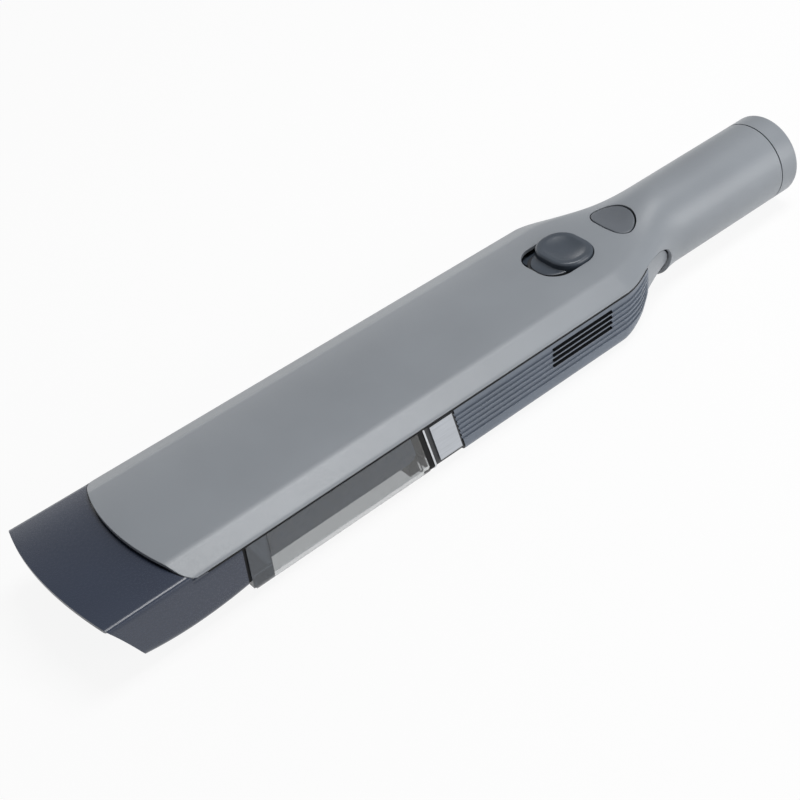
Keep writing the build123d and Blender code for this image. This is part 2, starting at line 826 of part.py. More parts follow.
def make_nozzle_shell():
    back = x_seam - touch
    shell = hull(-nozzle_corner, back, 0, nozzle_floor - belly_depth, nozzle_corner)
    raised = loft([shoulder(-nozzle_corner), shoulder(cover_tip + 2 * cover_corner)], ruled=True)
    shell += raised - (tongue_plan(step_gap) & block(0, x_neck, -reach, reach, edge_z - edge_gap, reach))
    shell = shell & belly()
    shell -= hull(-nozzle_corner - over, back + over, nozzle_wall, nozzle_floor, nozzle_corner)
    shell -= mouth(0)
    window = pocket_half + catch_leg / 2
    shell -= block(x_seam - latch_front - slider_travel, x_seam, -window, window, pocket_floor, reach)
    catch_x = x_seam - latch_front + nose_length + catch_gap
    legs = window + catch_leg / 2
    catch_low = catch_top - catch_height
    catch = block(catch_x, catch_x + catch_length, -legs, legs, catch_low, arch_crown - nozzle_wall / 2)
    catch -= block(catch_x, catch_x + catch_length, -pocket_half, pocket_half, catch_top, reach)
    shell += catch & hull(0, back, nozzle_wall / 4, nozzle_floor, nozzle_corner)
    inner = hinge_reach - nozzle_ear_width
    ears = eye_y(x_hinge, hinge_z, hinge_hub_radius, inner, hinge_reach)
    for y0 in (-hinge_reach, inner):
        ears += block(
            x_hinge - hinge_web, back, y0, y0 + nozzle_ear_width, hinge_z, nozzle_floor + nozzle_wall
        )
    relief = hinge_hub_radius + hinge_relief
    shell -= rod_along_y(x_hinge, -inner, inner, hinge_z, relief)
    shell += ears
    return shell - rod_along_y(x_hinge, -reach, reach, hinge_z, hinge_pin_radius + pin_play)


def duct_end(x, wall):
    shape = outline(
        duct_half - wall, duct_half - wall, duct_edge - wall / 2, duct_crown - wall,
        duct_floor + wall, duct_corner - wall,
    )
    return Plane.YZ.offset(x) * make_face(shape)


def flap_axis():
    return x_seam - touch + seat + flap_hub_radius, duct_crown + flap_hub_radius


def make_inlet_duct():
    back = x_seam - touch
    front = back - flange_thick
    gap = nozzle_wall + seat
    outer = loft([trough(0, gap, nozzle_floor, nozzle_corner), duct_end(front, 0)], ruled=True)
    inner = loft([
        trough(0, gap + duct_wall, nozzle_floor, nozzle_corner),
        duct_end(front, duct_wall),
    ], ruled=True)
    bore = extrude(duct_end(front, duct_wall), amount=flange_thick)
    flange = hull(front, back, gap, nozzle_floor, nozzle_corner)
    notch = pocket_half + catch_leg
    flange -= block(front, back, -notch, notch, pocket_floor - seat, reach)
    flange -= rod_along_y(x_hinge, -hinge_reach, hinge_reach, hinge_z, hinge_hub_radius + 2 * hinge_relief)
    x, z = flap_axis()
    lug_inner = duct_half + seat
    for side in (-1, 1):
        y0 = lug_inner if side > 0 else -lug_inner - flap_lug
        hub = flap_hub_radius
        flange += block(front, x + hub, y0, y0 + flap_lug, z - hub, z + hub)
    duct = (outer - inner - mouth(duct_setback)) + (flange - bore)
    duct -= inner & block(-reach, front, -reach, reach, -reach, reach)
    return duct - rod_along_y(x, -reach, reach, z, flap_pin_radius + pin_play)


def make_intake_flap():
    x, z = flap_axis()
    half = duct_half - seat
    left = x - flap_hub_radius
    flap = block(left, left + flap_thick, -half, half, duct_floor + duct_wall - flap_overlap, z)
    flap += rod_along_y(x, -half, half, z, flap_hub_radius)
    return flap - rod_along_y(x, -reach, reach, z, flap_pin_radius + pin_play)


def make_flap_pin():
    x, z = flap_axis()
    half = duct_half + seat + flap_lug
    return rod_along_y(x, -half, half, z, flap_pin_radius)


def chin(lift):
    # Everything above the curve in which the cup's underside rises to the nozzle.
    radius = (chin_run**2 + chin_rise**2) / (2 * chin_rise)
    halfway = radius - math.sqrt(radius**2 - chin_run**2 / 4)
    end = x_seam + chin_run
    edges = [
        Line((x_seam, reach), (x_seam, chin_rise + lift)),
        ThreePointArc((x_seam, chin_rise + lift), (end - chin_run / 2, halfway + lift), (end, lift)),
        Line((end, lift), (x_cup_rear + reach, lift)),
        Line((x_cup_rear + reach, lift), (x_cup_rear + reach, reach)),
        Line((x_cup_rear + reach, reach), (x_seam, reach)),
    ]
    return side_prism(edges, reach)


def make_nozzle_seal():
    x0 = x_seam + touch
    x1 = x0 + seal_thick
    band = hull(x0, x1, seal_inset, nozzle_floor, nozzle_corner)
    band -= hull(x0 - over, x1 + over, seal_inset + seal_depth, nozzle_floor, nozzle_corner)
    band -= latch_pocket()
    relief = hinge_hub_radius + hinge_relief
    return band - rod_along_y(x_hinge, -reach, reach, hinge_z, relief)


def make_cup_collar():
    x1 = x_clear - touch
    shell = hull(x_cup, x1, 0) & chin(0)
    shell -= hull(x_cup - over, x1 + over, collar_wall, collar_sill - collar_wall, body_corner)
    shell += spine(x_cup, x1)
    shell -= latch_pocket()
    inner = hinge_reach - nozzle_ear_width - seat
    ears = eye_y(x_hinge, hinge_z, hinge_hub_radius, inner - cup_ear_width, inner)
    web = block(x_hinge, x_cup + hinge_web, -inner, inner, hinge_z - hinge_hub_radius / 2, chin_rise)
    bay = inner - cup_ear_width
    web -= block(x_hinge, x_hinge + 2 * hinge_hub_radius, -bay, bay, -reach, reach)
    shell += (web & hull(x_hinge - over, x_clear, 0)) & block(x_hinge, x1, -reach, reach, 0, reach)
    relief = hinge_hub_radius + hinge_relief
    shell -= eye_y(x_hinge, hinge_z, relief, inner, hinge_reach + seat)
    shell -= rod_along_y(x_hinge, -bay, bay, hinge_z, relief)
    shell += ears
    shell -= rod_along_y(x_hinge, -reach, reach, hinge_z, hinge_pin_radius + pin_play)
    return shell - rod_along_y(x_pivot, -reach, reach, latch_pivot_z, latch_pin_radius + pin_play)


def make_dust_cup():
    far = x_cup_rear + reach / 2
    shell = hull(x_clear, far, 0) & chin(0) & slab(x_clear - reach, x_cup_rear)
    cavity = hull(x_clear - over, far, cup_wall) & chin(cup_wall)
    rim = hull(x_clear, far, 0) & chin(0) & slab(x_cup_rear - rim_length, x_cup_rear)
    rim -= hull(x_clear, far, rim_wall)
    shell = (shell - cavity) + rim
    shell += spine(x_clear, far) & slab(x_clear - reach, x_cup_rear)
    shell -= latch_pocket()
    root = x_cup_rear + lean_per_mm * edge_z - 2 * rim_length
    tongue_back = root + tongue_length
    tongue_top = tongue_bottom + tongue_thick
    tongue = block(root, tongue_back, -tongue_half, tongue_half, tongue_bottom, tongue_top)
    heel = block(root, root + rim_length, -tongue_half, tongue_half, cup_wall / 2, tongue_top)
    return shell + tongue + heel


def make_cup_liner():
    far = x_cup_rear + reach / 2
    outer = cup_wall + seat
    panels = hull(x_clear, far, outer) - hull(x_clear - over, far, outer + liner_wall)
    back = x_cup_rear - rim_length - seat
    panels = panels & slab(x_clear - reach, back)
    panels -= block(
        x_clear - over, far, -pocket_half - pocket_wall - seat, pocket_half + pocket_wall + seat, 0, reach
    )
    end = back + lean_per_mm * (edge_z - liner_edge)
    k = liner_corner * (1 - math.sqrt(0.5))
    low = [
        Line((x_clear + seat, reach), (x_clear + seat, liner_edge)),
        Line((x_clear + seat, liner_edge), (end - liner_corner, liner_edge)),
        ThreePointArc(
            (end - liner_corner, liner_edge), (end - k, liner_edge + k), (end, liner_edge + liner_corner)
        ),
        Line((end, liner_edge + liner_corner), (end, reach)),
        Line((end, reach), (x_clear + seat, reach)),
    ]
    return panels & side_prism(low, reach)


def filter_back():
    return x_cup_rear - filter_setback


def make_filter_frame():
    back = filter_back()
    far = x_cup_rear + reach / 2
    flange = hull(x_clear, far, rim_wall + seat) & chin(cup_wall) & slab(back - filter_flange, back)
    flange -= block(
        x_clear, far, -pocket_half - pocket_wall - seat, pocket_half + pocket_wall + seat,
        pocket_floor - pocket_wall - seat, reach,
    )
    gap_half = tongue_half + seat
    flange -= block(x_clear, far, -gap_half, gap_half, 0, tongue_bottom + tongue_thick + seat)
    front = back - filter_length
    side = filter_half + filter_wall
    flange += block(front, back, -side, side, filter_bottom - filter_wall, filter_top + filter_wall)
    return flange - block(front, far, -filter_half, filter_half, filter_bottom, filter_top)


def make_filter_pleats():
    # Folded sheet seen from above: straight leaves joined at alternate ends.
    front = filter_back() - filter_length + screen_thick + 2 * touch
    back = filter_back() - touch
    half = filter_half - touch - pleat_thick / 2
    leaves = 2 * pleat_count
    step = 2 * half / (leaves - 1)
    middle = (front + back) / 2
    sheet = Sketch()
    for index in range(leaves):
        y = index * step - half
        sheet += Pos(middle, y) * Rectangle(back - front, pleat_thick)
        if index:
            end = front + pleat_thick / 2 if index % 2 else back - pleat_thick / 2
            sheet += Pos(end, y - step / 2) * Rectangle(pleat_thick, step)
    return extrude(Pos(0, 0, filter_bottom + touch) * sheet, amount=filter_top - filter_bottom - 2 * touch)


def make_mesh_screen():
    x0 = filter_back() - filter_length + touch
    half = filter_half - touch
    low = filter_bottom + touch
    high = filter_top - touch
    cell_y = (2 * half - screen_bar) / screen_columns
    cell_z = (high - low - screen_bar) / screen_rows
    face = Rectangle(2 * half, high - low)
    spots = GridLocations(cell_y, cell_z, screen_columns, screen_rows)
    face -= spots * Rectangle(cell_y - screen_bar, cell_z - screen_bar)
    return extrude(Plane.YZ.offset(x0) * Pos(0, (low + high) / 2) * face, amount=screen_thick)


def make_hinge_pin():
    return rod_along_y(x_hinge, -hinge_reach, hinge_reach, hinge_z, hinge_pin_radius)


def make_door_spring():
    inner = hinge_reach - nozzle_ear_width - seat - cup_ear_width - seat
    return Pos(x_hinge, -inner, hinge_z) * Rot(-90, 0, 0) * coil(
        spring_coil_radius, spring_wire, 2 * inner, spring_turns
    )


def make_nozzle_latch():
    half = latch_width / 2
    nose = x_seam - latch_front
    low = latch_pivot_z + nose_drop
    high = low + latch_arm
    tail = x_seam + latch_rear
    tail_top = rod_bottom - seat
    arm = side_prism(Polyline(
        (nose, low + touch), (x_pivot, low + touch), (x_pivot, high), (nose, high), close=True,
    ).edges(), latch_waist / 2)
    heel = side_prism(Polyline(
        (x_pivot, low + touch), (tail, tail_top - latch_arm), (tail, tail_top), (x_pivot, high), close=True,
    ).edges(), latch_heel / 2)
    tip = block(nose, nose + nose_length, -half, half, catch_top - touch, high)
    latch = arm + heel + tip
    latch += rod_along_y(x_pivot, -half, half, latch_pivot_z, latch_hub_radius)
    return latch - rod_along_y(x_pivot, -reach, reach, latch_pivot_z, latch_pin_radius + pin_play)


def make_latch_pin():
    half = pocket_half + pocket_wall - touch
    return rod_along_y(x_pivot, -half, half, latch_pivot_z, latch_pin_radius)


def make_eject_slider():
    pad = extrude(
        Pos(0, 0, flange_bottom) * slot_plan(slider_length, slot_width - 2 * slider_gap, x_slider),
        amount=slider_top - flange_bottom,
    )
    scoop_z = slider_top - slider_scoop_depth + slider_scoop
    pad -= rod_along_y(x_slider, -reach, reach, scoop_z, slider_scoop)
    flange = block(
        x_slider - flange_length / 2, x_slider + flange_length / 2, -flange_width / 2, flange_width / 2,
        flange_bottom, flange_bottom + flange_height,
    )
    front = x_slider - flange_length / 2
    tab = block(front - rod_tab, front, -rod_half, rod_half, flange_bottom, rod_bottom - touch)
    return pad + flange + tab


def make_push_rod():
    back = x_slider - flange_length / 2 - touch
    top = rod_bottom + rod_thick
    knee = x_rod_tip + wedge_length
    low = rod_bottom - wedge_drop
    edges = Polyline(
        (x_rod_tip, rod_bottom), (knee, low), (knee + wedge_length, low),
        (knee + 2 * wedge_length, rod_bottom), (back, rod_bottom), (back, top), (x_rod_tip, top),
        close=True,
    )
    return side_prism(edges.edges(), rod_half)


def make_slider_track():
    x0 = x_slider - flange_length / 2 - track_spring_room - track_wall
    x1 = x_slider + flange_length / 2 + seat + track_wall
    half = flange_width / 2 + seat + track_wall
    low = flange_bottom - seat - track_floor
    high = flange_bottom + flange_height
    tray = block(x0, x1, -half, half, low, high)
    tray -= block(
        x0 + track_wall, x1 - track_wall, track_wall - half, half - track_wall, flange_bottom - seat, high
    )
    return tray - block(x0, x0 + track_wall, -channel_half, channel_half, flange_bottom, high)


def make_slider_spring():
    x0 = x_slider - flange_length / 2 - track_spring_room + touch
    length = track_spring_room - 2 * touch
    z = flange_bottom + slider_spring_radius
    return Pos(x0, slider_spring_y, z) * Rot(0, 90, 0) * coil(
        slider_spring_radius, slider_spring_wire, length, slider_spring_turns
    )


def make_release_button():
    centre = x_release + release_length / 2
    plan = RectangleRounded(release_length, 2 * release_half, release_corner - seat)
    rise = housing_wall + seat + release_flange_thick
    pad = extrude(Pos(centre, 0, release_recess) * plan, amount=rise - release_recess)
    grip = release_length / 2 + release_flange
    rim = release_half + release_flange
    pad += block(centre - grip, centre + grip, -rim, rim, housing_wall + seat, rise)
    pad -= block(
        centre - grip, centre, -tongue_half - seat, tongue_half + seat,
        tongue_bottom - release_travel - seat, reach,
    )
    yoke_x = x_release + release_flange
    outer = tongue_half + seat + yoke_post
    top = tongue_bottom + tongue_thick + seat + release_travel + yoke_bar
    yoke = block(yoke_x, yoke_x + yoke_length, -outer, outer, housing_wall + seat, top)
    yoke -= block(
        yoke_x, yoke_x + yoke_length, yoke_post - outer, outer - yoke_post, 0, top - yoke_bar
    )
    tooth = block(
        yoke_x, yoke_x + yoke_length, -tongue_half / 2, tongue_half / 2,
        tongue_bottom + tongue_thick + seat, top,
    )
    nub = rod_along_z(centre + leaf_length / 2, 0, rise - touch, leaf_z - touch, leaf_length / 2)
    return pad + yoke + tooth + nub


def make_release_spring():
    x0 = x_release + release_length / 2
    return block(x0, x0 + leaf_length, -leaf_half, leaf_half, leaf_z, leaf_z + leaf_thick)


def make_motor_bulkhead():
    x1 = x_bulkhead + bulkhead_thick
    plate = hull(x_bulkhead, x1, housing_wall + seat)
    return plate - rod_along_x(x_bulkhead, x1, 0, motor_z, intake_radius)


def make_fan_shroud():
    x1 = x_shroud + shroud_length
    shroud = rod_along_x(x_shroud, x1, 0, motor_z, shroud_radius)
    shroud -= rod_along_x(x_shroud + shroud_wall, x1, 0, motor_z, shroud_radius - shroud_wall)
    return shroud - rod_along_x(x_shroud, x1, 0, motor_z, eye_radius)


def make_impeller():
    front = x_impeller
    back = x_impeller + impeller_length
    wheel = rod_along_x(back - impeller_disc, back, 0, motor_z, impeller_radius)
    wheel += rod_along_x(front, back, 0, motor_z, 2 * shaft_radius)
    for index in range(blade_count):
        blade = block(front, back, shaft_radius, impeller_radius, -blade_thick / 2, blade_thick / 2)
        wheel += Pos(0, 0, motor_z) * Rot(index * 360 / blade_count, 0, 0) * blade
    return wheel - rod_along_x(front, back, 0, motor_z, shaft_radius)


def make_motor_can():
    can = rod_along_x(x_can, x_bell, 0, motor_z, can_radius)
    can -= rod_along_x(x_can + can_wall, x_bell, 0, motor_z, can_radius - can_wall)
    can += rod_along_x(x_can, x_can + bearing_length, 0, motor_z, bearing_radius + can_wall)
    return can - rod_along_x(x_can, x_can + bearing_length, 0, motor_z, bearing_radius)


def make_motor_end_bell():
    x0 = x_bell + touch
    bell = rod_along_x(x0, x0 + bell_length, 0, motor_z, can_radius)
    return bell - rod_along_x(x0, x0 + bell_length, 0, motor_z, bearing_radius)


def make_motor_bearings():
    bushes = None
    for x in (x_can, x_bell + touch):
        bush = rod_along_x(x, x + bearing_length, 0, motor_z, bearing_radius)
        bush -= rod_along_x(x, x + bearing_length, 0, motor_z, shaft_radius + pin_play)
        bushes = bush if bushes is None else bushes + bush
    return bushes


def make_rotor_shaft():
    return rod_along_x(x_impeller, x_bell + bell_length, 0, motor_z, shaft_radius)


def make_armature_core():
    x0 = x_can + armature_start
    core = rod_along_x(x0, x0 + armature_length, 0, motor_z, armature_radius)
    for index in range(armature_slots):
        cut = block(
            x0, x0 + armature_length, armature_radius - armature_slot_depth, reach,
            -armature_slot / 2, armature_slot / 2,
        )
        core -= Pos(0, 0, motor_z) * Rot(index * 360 / armature_slots, 0, 0) * cut
    return core - rod_along_x(x0, x0 + armature_length, 0, motor_z, shaft_radius)


def make_motor_magnets():
    x0 = x_can + armature_start
    outer = can_radius - can_wall
    tube = rod_along_x(x0, x0 + armature_length, 0, motor_z, outer)
    tube -= rod_along_x(x0, x0 + armature_length, 0, motor_z, outer - magnet_thick)
    open_half = outer * math.sin(math.radians(90 - magnet_sweep / 2))
    return tube - block(x0, x0 + armature_length, -reach, reach, motor_z - open_half, motor_z + open_half)


def make_motor_mount_ring():
    x1 = x_can + can_overlap
    mount = rod_along_x(x_can, x1, 0, motor_z, shroud_radius - shroud_wall)
    return mount - rod_along_x(x_can, x1, 0, motor_z, can_radius)


def make_motor_cradle():
    x1 = x_bell - touch
    x0 = x1 - cradle_length
    cradle = block(x0, x1, -cradle_half, cradle_half, housing_wall, motor_z)
    return cradle - rod_along_x(x0, x1, 0, motor_z, can_radius)


def make_exhaust_foam():
    x0 = x_housing + vent_start - foam_margin
    x1 = x_housing + vent_start + vent_length + foam_margin
    inset = housing_wall + seat
    pads = hull(x0, x1, inset) - hull(x0 - over, x1 + over, inset + foam_thick)
    low = groove_top - (vent_count - 1) * groove_pitch - foam_margin
    return pads & block(x0, x1, -reach, reach, low, groove_top + foam_margin)


def cell_places():
    ring_radius = cell_diameter / math.sqrt(3)
    turns = [math.radians(90 + index * 120) for index in range(3)]
    return [(ring_radius * math.cos(turn), handle_axis_z + ring_radius * math.sin(turn)) for turn in turns]


def make_battery_cells():
    cells = [
        rod_along_x(x_cells, x_cells + cell_length, y, z, cell_diameter / 2 - touch / 2)
        for y, z in cell_places()
    ]
    return Compound(children=[cell.solids()[0] for cell in cells])


def make_cell_links():
    links = []
    spots = cell_places()
    for x, first, second in ((x_cells - link_thick, 1, 2), (x_cells + cell_length, 0, 1)):
        (y0, z0), (y1, z1) = spots[first], spots[second]
        length = math.hypot(y1 - y0, z1 - z0) + link_width
        strip = Rot(0, 0, math.degrees(math.atan2(z1 - z0, y1 - y0))) * Rectangle(length, link_width)
        middle = Plane.YZ.offset(x) * Pos((y0 + y1) / 2, (z0 + z1) / 2)
        links.append(extrude(middle * strip, amount=link_thick))
    return Compound(children=[link.solids()[0] for link in links])


def holder(x):
    plate = rod_along_x(x, x + holder_thick, 0, handle_axis_z, holder_radius)
    return plate - rod_along_x(x, x + holder_thick, 0, handle_axis_z, holder_hole)


def make_control_board():
    x0 = x_neck + board_start
    board = block(x0, x0 + board_length, -board_half, board_half, board_z, board_z + board_thick)
    for x, y in board_corners():
        board -= rod_along_z(x, y, board_z, board_z + board_thick, board_screw_radius + pin_play)
    return board


def make_board_screws():
    screws = []
    for x, y in board_corners():
        screw = rod_along_z(x, y, board_z - board_screw_head, board_z, board_screw_head_radius)
        tip = board_z + board_thick + board_screw_bite - touch
        screws.append(screw + rod_along_z(x, y, board_z, tip, board_screw_radius))
    return Compound(children=[screw.solids()[0] for screw in screws])


def make_power_switch():
    x = x_neck + switch_x
    half = switch_side / 2
    low = board_z + board_thick
    base = block(x - half, x + half, -half, half, low, low + switch_height)
    return base - rod_along_z(x, 0, low + switch_height - plunger_depth, reach, plunger_radius + pin_play)


def make_switch_plunger():
    low = board_z + board_thick + switch_height - plunger_depth + button_travel + touch
    return rod_along_z(x_neck + switch_x, 0, low, button_bottom - touch, plunger_radius)


def make_button_spring():
    low = board_z + board_thick
    return Pos(x_neck + switch_x, 0, low + touch) * coil(
        button_spring_radius, button_spring_wire, button_bottom - low - 2 * touch, button_spring_turns
    )


def make_power_button():
    button = button_column(0, button_bottom, reach) & neck(0, 0)
    return button + button_column(button_flange, button_bottom, button_bottom + button_flange_thick)


def make_housing_screws():
    screws = []
    for x, y in screw_places():
        head_top = screw_recess + screw_head
        screw = rod_along_z(x, y, screw_recess, head_top, screw_head_radius)
        screws.append(screw + rod_along_z(x, y, head_top, boss_top + seat + screw_bite, screw_radius))
    return Compound(children=[screw.solids()[0] for screw in screws])


pieces = {
    "top_cover": make_top_cover,
    "end_cap": make_end_cap,
    "charge_contacts": make_charge_contacts,
    "contact_board": make_contact_board,
    "motor_housing": make_motor_housing,
    "neck_saddle": make_neck_saddle,
    "cup_gasket": lambda: ring(x_cup_rear + touch, x_trim, ring_inset, ring_depth),
    "trim_ring": lambda: ring(x_trim + touch, x_frame, 0, ring_depth),
    "housing_collar": make_housing_collar,
    "badge_plate_left": lambda: make_badge_plate(1),
    "badge_plate_right": lambda: make_badge_plate(-1),
    "nozzle_shell": make_nozzle_shell,
    "inlet_duct": make_inlet_duct,
    "intake_flap": make_intake_flap,
    "flap_pin": make_flap_pin,
    "nozzle_seal": make_nozzle_seal,
    "cup_collar": make_cup_collar,
    "dust_cup": make_dust_cup,
    "cup_liner": make_cup_liner,
    "filter_frame": make_filter_frame,
    "filter_pleats": make_filter_pleats,
    "mesh_screen": make_mesh_screen,
    "hinge_pin": make_hinge_pin,
    "door_spring": make_door_spring,
    "nozzle_latch": make_nozzle_latch,
    "latch_pin": make_latch_pin,
    "eject_slider": make_eject_slider,
    "push_rod": make_push_rod,
    "slider_track": make_slider_track,
    "slider_spring": make_slider_spring,
    "release_button": make_release_button,
    "release_spring": make_release_spring,
    "motor_bulkhead": make_motor_bulkhead,
    "fan_shroud": make_fan_shroud,
    "impeller": make_impeller,
    "motor_can": make_motor_can,
    "motor_end_bell": make_motor_end_bell,
    "motor_bearings": make_motor_bearings,
    "rotor_shaft": make_rotor_shaft,
    "armature_core": make_armature_core,
    "motor_magnets": make_motor_magnets,
    "motor_mount_ring": make_motor_mount_ring,
    "motor_cradle": make_motor_cradle,
    "exhaust_foam": make_exhaust_foam,
    "battery_cells": make_battery_cells,
    "cell_links": make_cell_links,
    "battery_holder_front": lambda: holder(x_cells - link_thick - touch - holder_thick),
    "battery_holder_rear": lambda: holder(x_cells + cell_length + link_thick + touch),
    "control_board": make_control_board,
    "board_screws": make_board_screws,
    "power_switch": make_power_switch,
    "switch_plunger": make_switch_plunger,
    "button_spring": make_button_spring,
    "power_button": make_power_button,
    "housing_screws": make_housing_screws,
}

to_origin = Pos(-overall_length / 2, 0, 0)
for name, make in pieces.items():
    export_step(to_origin * make(), f"parts/{name}.step")
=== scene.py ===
import json
import bmesh
import bpy
import numpy as np
from mathutils import Matrix, Vector


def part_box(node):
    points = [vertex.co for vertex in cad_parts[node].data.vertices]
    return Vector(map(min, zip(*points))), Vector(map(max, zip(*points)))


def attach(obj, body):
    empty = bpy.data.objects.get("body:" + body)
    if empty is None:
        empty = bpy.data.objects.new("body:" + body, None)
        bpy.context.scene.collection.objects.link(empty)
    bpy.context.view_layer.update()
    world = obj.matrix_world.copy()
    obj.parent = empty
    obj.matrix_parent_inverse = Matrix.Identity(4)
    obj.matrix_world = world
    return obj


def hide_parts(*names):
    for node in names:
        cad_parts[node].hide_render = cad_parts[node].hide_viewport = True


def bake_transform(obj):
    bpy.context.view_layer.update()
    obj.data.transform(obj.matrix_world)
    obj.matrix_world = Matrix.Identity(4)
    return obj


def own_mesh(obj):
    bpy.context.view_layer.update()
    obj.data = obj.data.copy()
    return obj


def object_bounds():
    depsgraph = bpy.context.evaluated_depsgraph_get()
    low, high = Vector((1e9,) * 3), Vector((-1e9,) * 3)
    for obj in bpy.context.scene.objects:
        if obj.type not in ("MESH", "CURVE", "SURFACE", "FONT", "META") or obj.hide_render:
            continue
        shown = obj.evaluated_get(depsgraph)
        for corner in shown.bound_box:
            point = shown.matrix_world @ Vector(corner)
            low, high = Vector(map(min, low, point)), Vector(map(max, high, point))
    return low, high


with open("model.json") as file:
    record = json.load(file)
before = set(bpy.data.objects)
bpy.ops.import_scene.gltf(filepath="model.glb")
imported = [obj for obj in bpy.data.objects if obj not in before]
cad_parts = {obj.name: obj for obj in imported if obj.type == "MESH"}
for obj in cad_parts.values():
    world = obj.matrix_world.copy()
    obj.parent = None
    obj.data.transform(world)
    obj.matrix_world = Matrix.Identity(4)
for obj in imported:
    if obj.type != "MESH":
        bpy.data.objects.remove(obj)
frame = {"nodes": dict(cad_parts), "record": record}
nodes = frame["nodes"]
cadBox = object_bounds()
tipX = cadBox[0][0] * 1000  # stations below are mm behind the nozzle's tip
print("frame loaded,", len(nodes), "nodes")


def hexColour(code, share=1.0):
    # sRGB hex to linear, made lighter or darker by a share
    channels = np.array([int(code[i:i + 2], 16) for i in (1, 3, 5)]) / 255
    linear = np.where(channels <= 0.04045, channels / 12.92, ((channels + 0.055) / 1.055) ** 2.4)
    return (*np.clip(linear * share, 0, 1).tolist(), 1.0)


def addNode(tree, kind, inputs=None, **settings):
    # one node with its settings, and its inputs set or linked
    node = tree.nodes.new(kind)
    for key, value in settings.items():
        setattr(node, key, value)
    for key, value in (inputs or {}).items():
        if isinstance(value, bpy.types.NodeSocket):
            tree.links.new(value, node.inputs[key])
        else:
            node.inputs[key].default_value = value
    return node


def newMaterial(name):
    # an empty material, and the Object coordinates that its pattern reads
    material = bpy.data.materials.new(name)
    material.use_nodes = True
    tree = material.node_tree
    tree.nodes.clear()
    return material, tree, addNode(tree, "ShaderNodeTexCoord").outputs["Object"]


def perMm(size):
    return 1000 / size  # pattern scale for a feature of this many mm


plasticGrain = dict(cloudBand=(0.35, 0.65), tints=(0.95, 1.05), grainBand=(0.3, 0.7), vary=0.05,
                    depth=0.0001, ior=1.53)


def mouldedPlastic(name, look):
    # Moulded plastic: a faint cloud of flow marks in the colour, a spark-eroded grain that breaks up
    # the gloss, and a grain relief. The real grain is about 0.1 mm, drawn coarser so that it shows.
    material, tree, place = newMaterial(name)
    cloud = addNode(tree, "ShaderNodeTexNoise", {
        "Vector": place, "Scale": perMm(look["cloudMm"]), "Detail": 3.0})
    grain = addNode(tree, "ShaderNodeTexNoise", {
        "Vector": place, "Scale": perMm(look["grainMm"]), "Detail": 2.0})
    colour = addNode(tree, "ShaderNodeValToRGB", {"Fac": cloud.outputs["Fac"]})
    stops = zip(colour.color_ramp.elements, plasticGrain["cloudBand"], plasticGrain["tints"])
    for stop, position, tint in stops:
        stop.position, stop.color = position, hexColour(look["colour"], tint)
    low, high = plasticGrain["grainBand"]
    vary = look.get("vary", plasticGrain["vary"])
    gloss = addNode(tree, "ShaderNodeMapRange", {
        "Value": grain.outputs["Fac"], "From Min": low, "From Max": high,
        "To Min": look["rough"] - vary, "To Max": look["rough"] + vary})
    relief = addNode(tree, "ShaderNodeBump", {
        "Height": grain.outputs["Fac"], "Strength": look["relief"], "Distance": plasticGrain["depth"]})
    shader = addNode(tree, "ShaderNodeBsdfPrincipled", {
        "Base Color": colour.outputs["Color"], "Roughness": gloss.outputs["Result"],
        "Normal": relief.outputs["Normal"], "IOR": look.get("ior", plasticGrain["ior"])})
    addNode(tree, "ShaderNodeOutputMaterial", {"Surface": shader.outputs["BSDF"]})
    return material


clearHaze = dict(band=(0.35, 0.75), dulling=0.06, ior=1.5)


def clearPlastic(name, look):
    # Clear moulded SAN: a smoky tint in the wall, sharp reflections, and faint handling haze in the gloss.
    material, tree, place = newMaterial(name)
    haze = addNode(tree, "ShaderNodeTexNoise", {
        "Vector": place, "Scale": perMm(look["hazeMm"]), "Detail": 4.0})
    low, high = clearHaze["band"]
    gloss = addNode(tree, "ShaderNodeMapRange", {
        "Value": haze.outputs["Fac"], "From Min": low, "From Max": high,
        "To Min": look["rough"], "To Max": look["rough"] + clearHaze["dulling"]})
    shader = addNode(tree, "ShaderNodeBsdfPrincipled", {
        "Base Color": hexColour(look["colour"]), "Roughness": gloss.outputs["Result"],
        "Transmission Weight": look["clear"], "IOR": clearHaze["ior"]})
    addNode(tree, "ShaderNodeOutputMaterial", {"Surface": shader.outputs["BSDF"]})
    return material


metalLines = dict(band=(0.3, 0.7), tints=(0.85, 1.08), glossSwing=(-0.06, 0.08), depth=0.0001)


